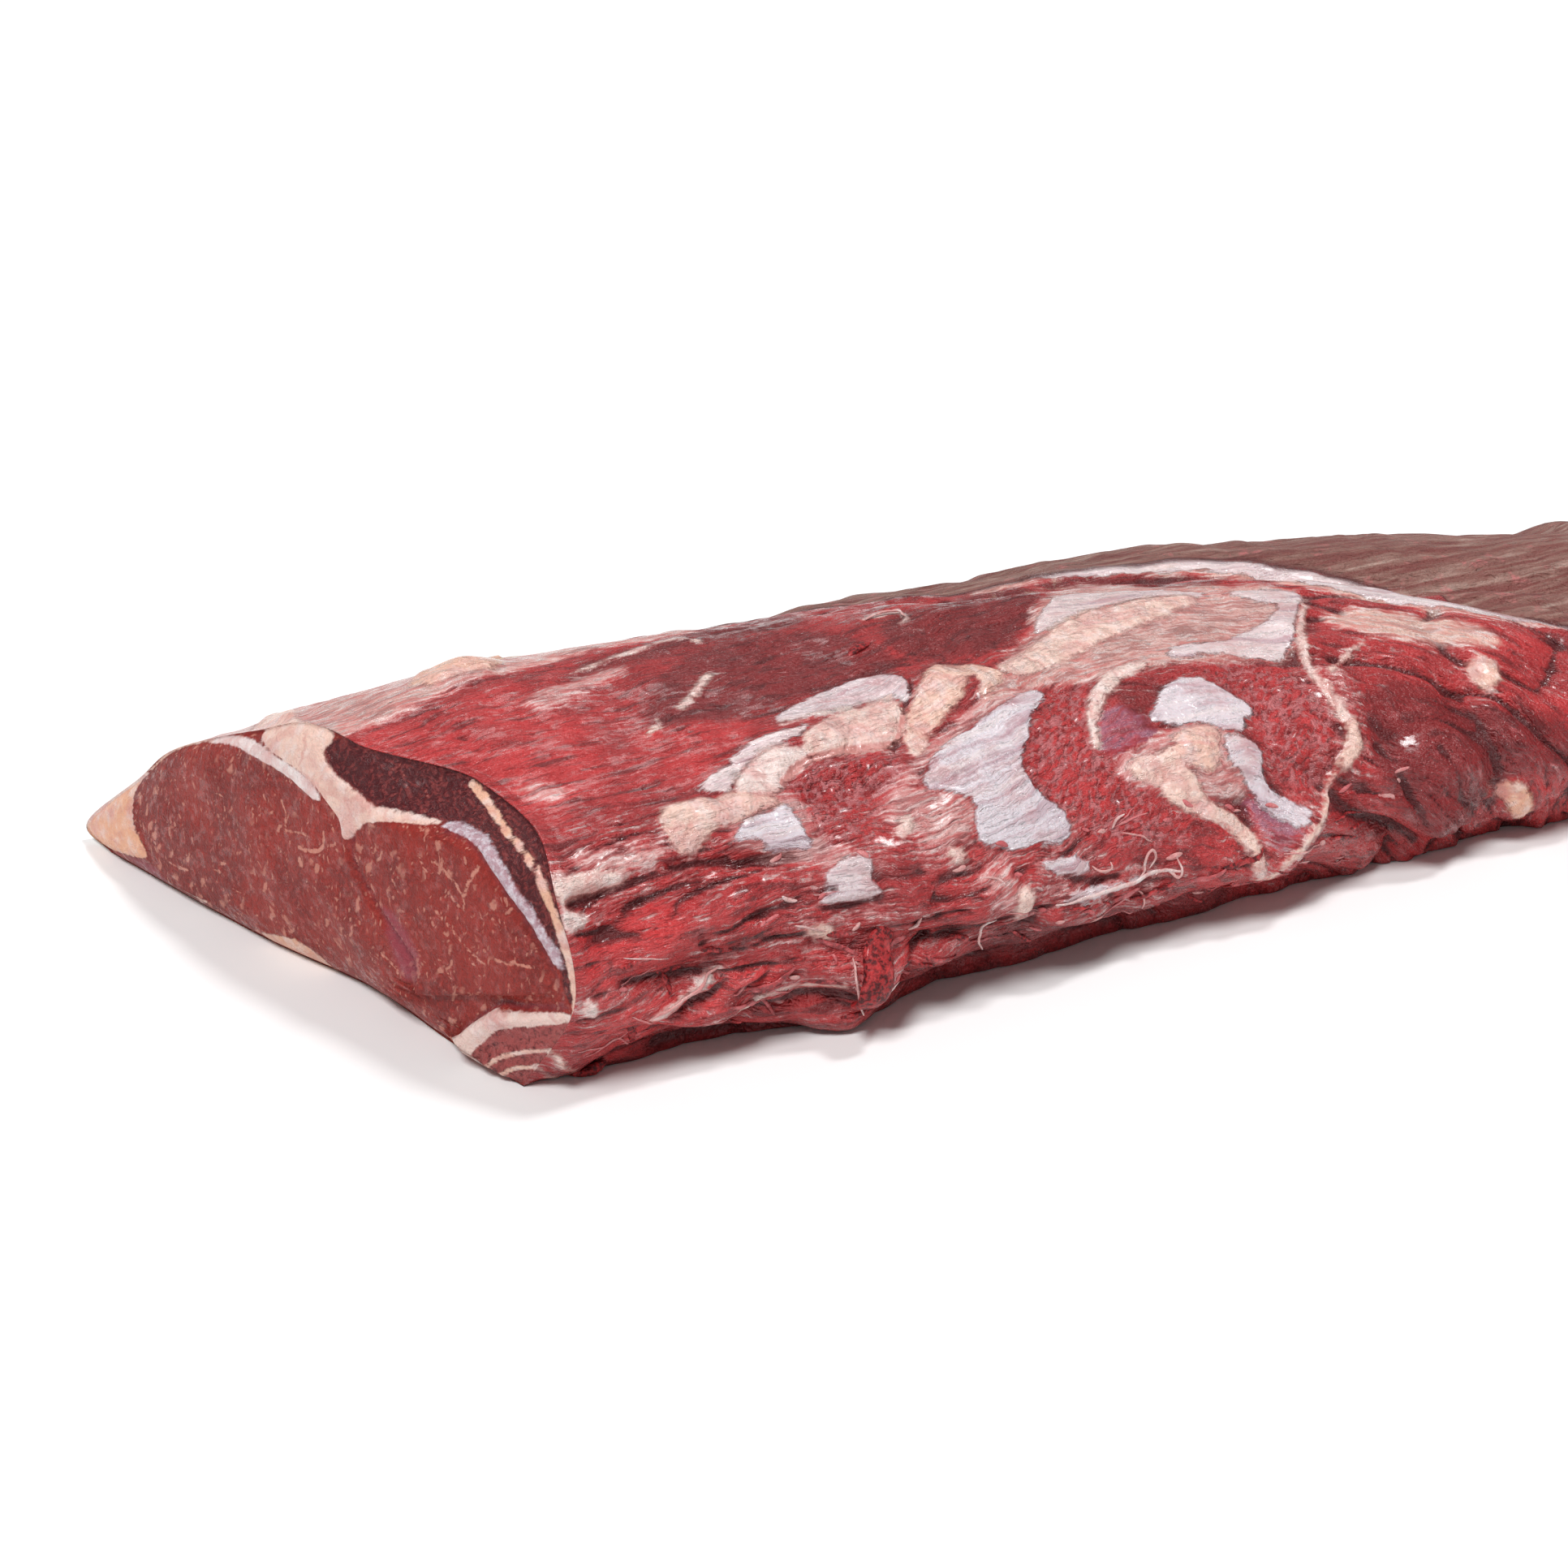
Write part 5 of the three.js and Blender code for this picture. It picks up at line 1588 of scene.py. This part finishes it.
def surfaceAt(place, guide):
    # a point of the finished skin and its way out, between grid points
    row = np.clip(np.interp(place, alongPlaces, np.arange(rowCount)), 0, rowCount - 1.001)
    column = np.clip(np.interp(guide, aroundPlaces, np.arange(columnCount)), 0, columnCount - 1.001)
    i, j = int(row), int(column)
    p, q = row - i, column - j
    low = moved[i, j] * (1 - q) + moved[i, j + 1] * q
    high = moved[i + 1, j] * (1 - q) + moved[i + 1, j + 1] * q
    outward = flatNormal.reshape(rowCount, columnCount, 3)[i, j]
    return low * (1 - p) + high * p, outward


def stripMesh(path, outward, wide, thick, sides=8):
    # a closed flattened tube that tapers at both ends
    path = np.array(path)
    outward = np.array(outward)
    run = np.gradient(path, axis=0)
    run /= np.linalg.norm(run, axis=1, keepdims=True)
    across = np.cross(run, outward)
    across /= np.linalg.norm(across, axis=1, keepdims=True)
    up = np.cross(across, run)
    share = np.linspace(0, 1, len(path))
    taper = np.sqrt(np.clip(np.sin(np.pi * (0.06 + 0.88 * share)), 0, 1))
    turn = np.arange(sides) * 2 * np.pi / sides
    sideways = across[:, None] * (np.cos(turn) * wide / 2)[None, :, None] * taper[:, None, None]
    upwards = up[:, None] * (np.sin(turn) * thick / 2)[None, :, None] * taper[:, None, None]
    rings = path[:, None] + sideways + upwards
    first = path[:1] - run[:1] * thick / 3
    last = path[-1:] + run[-1:] * thick / 3
    points = np.concatenate([rings.reshape(-1, 3), first, last])
    faces = []
    for i in range(len(path) - 1):
        for j in range(sides):
            k = (j + 1) % sides
            faces.append([i * sides + j, i * sides + k, (i + 1) * sides + k, (i + 1) * sides + j])
    ending = (len(path) - 1) * sides
    tips = len(path) * sides
    for j in range(sides):
        k = (j + 1) % sides
        faces.append([tips, k, j])
        faces.append([tips + 1, ending + j, ending + k])
    return points, faces


def namedPath(item):
    spots = [(placeOf[n], guideOf[n], lift) for n, lift in
             ((nearestVertex(laySkin((x, y))), lift) for x, y, lift in item["path"])]
    keys = np.array(spots, float)
    fine = spline(keys, np.linspace(0, len(keys) - 1, 6 * len(keys)))
    path = []
    ways = []
    for place, guide, lift in fine:
        point, outward = surfaceAt(place, guide)
        path.append(point + outward * lift)
        ways.append(outward)
    return path, ways


placeLength = 66.0  # mm that one place along takes up on the skin
guideLength = 33.0  # mm that one guide takes up round it


def seededPath(kind):
    place = random.uniform(*kind["places"])
    guide = random.uniform(*kind["guides"])
    long = random.uniform(*kind["long"])
    turn = random.normal(-0.1, 0.3)
    bend = random.normal(0.0, 0.35)
    lift = kind["lift"] * random.uniform(0.5, 1.4)
    raised = random.random() < 0.25
    path = []
    ways = []
    for share in np.linspace(0, 1, 11):
        angle = turn + bend * share
        point, outward = surfaceAt(place + long * share * math.cos(angle) / placeLength,
                                   guide + long * share * math.sin(angle) / guideLength)
        height = lift * (share ** 1.5 * 2.2 if raised else math.sin(math.pi * share))
        path.append(point + outward * height)
        ways.append(outward)
    return path, ways


def addShreds():
    points = []
    faces = []
    pale = []

    def keep(path, ways, wide, thick, tone):
        newPoints, newFaces = stripMesh(path, ways, wide, thick)
        start = sum(len(block) for block in points)
        points.append(newPoints)
        faces.extend([[start + n for n in face] for face in newFaces])
        pale.extend([tone] * len(newPoints))

    for item in namedShreds:
        path, ways = namedPath(item)
        keep(path, ways, item["wide"], item["thick"], item["pale"])
    for kind in shredKinds:
        for n in range(kind["count"]):
            path, ways = seededPath(kind)
            wide = random.uniform(*kind["wide"])
            keep(path, ways, wide, min(kind["thick"], wide), random.uniform(*kind["pale"]))
    spots = np.concatenate(points)
    spots = spots + 0.25 * np.stack([noise(spots, 2.4, seed) for seed in (81, 82, 83)], 1)
    spots[:, 2] = np.maximum(spots[:, 2], 0.05)
    piece = addMesh("shreds", spots, faces)
    store(piece, "pale", np.array(pale))
    piece.data.materials.append(shredMaterial())
    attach(piece, "root")
    print("shreds added", len(spots), "points")


def shredMaterial():
    graph = Graph("shreds")
    spots = graph.place()
    fine = graph.noise(spots, 0.8, 3.0, 0.6)
    patchy = graph.noise(spots, 0.25, 3.0)
    tone = graph.value("pale") + (patchy - 0.5) * 0.6
    lean = graph.mix(fine.step(0.40, 0.60), flesh["leanDeep"], flesh["lean"])
    lean = graph.mix(patchy.step(0.50, 0.64) * 0.7, lean, flesh["leanBright"])
    colour = graph.mix(tone.step(0.15, 0.60), lean, flesh["leanPink"])
    colour = graph.mix(tone.step(0.55, 0.90), colour, flesh["filmPink"])
    colour = graph.mix(tone.step(0.85, 1.15), colour, flesh["fatWhite"])
    sockets = {"Strength": 0.9, "Distance": bumpDepth["shreds"], "Height": fine}
    normal = graph.node("ShaderNodeBump", None, sockets)
    rough = 0.4 + (fine - 0.5) * 0.2
    return graph.wetSurface(colour, rough, normal, patchy.step(0.5, 0.6) * 0.4, flesh["shredShine"])


addShreds()


# Pale floor and soft studio light

studio = {
    "floor": (0.93, 0.93, 0.93), "floorSide": 60.0, "floorHeight": -0.0004, "sky": 0.21,
    "suns": [
        {"name": "key", "aim": (0.45, 0.35, -1.0), "softness": 18, "strength": 2.15},
        {"name": "rim", "aim": (-0.25, -0.75, -0.8), "softness": 20, "strength": 0.45},
        {"name": "glint", "aim": (-0.34, 0.10, -0.9), "softness": 8, "strength": 1.1},
    ],
}


def addFloor():
    half = studio["floorSide"] / 2
    mesh = bpy.data.meshes.new("floor")
    corners = [(-half, -half), (half, -half), (half, half), (-half, half)]
    mesh.from_pydata([(x, y, studio["floorHeight"]) for x, y in corners], [], [(0, 1, 2, 3)])
    floor = bpy.data.objects.new("floor", mesh)
    bpy.context.scene.collection.objects.link(floor)
    graph = Graph("floorPaint")
    mesh.materials.append(graph.finish({
        "Base Color": (*studio["floor"], 1.0), "Roughness": 0.9, "Specular IOR Level": 0.1}))


def addLights():
    for item in studio["suns"]:
        data = bpy.data.lights.new(item["name"], "SUN")
        data.angle = math.radians(item["softness"])
        data.energy = item["strength"]
        lamp = bpy.data.objects.new(item["name"], data)
        lamp.rotation_euler = Vector(item["aim"]).to_track_quat("-Z", "Y").to_euler()
        bpy.context.scene.collection.objects.link(lamp)
    world = bpy.data.worlds.new("world")
    world.use_nodes = True
    world.node_tree.nodes["Background"].inputs["Strength"].default_value = studio["sky"]
    world.node_tree.nodes["Background"].inputs["Color"].default_value = (1.0, 1.0, 1.0, 1.0)
    bpy.context.scene.world = world


addFloor()
addLights()
bpy.context.scene.view_settings.view_transform = "Standard"
print("floor and lights placed")
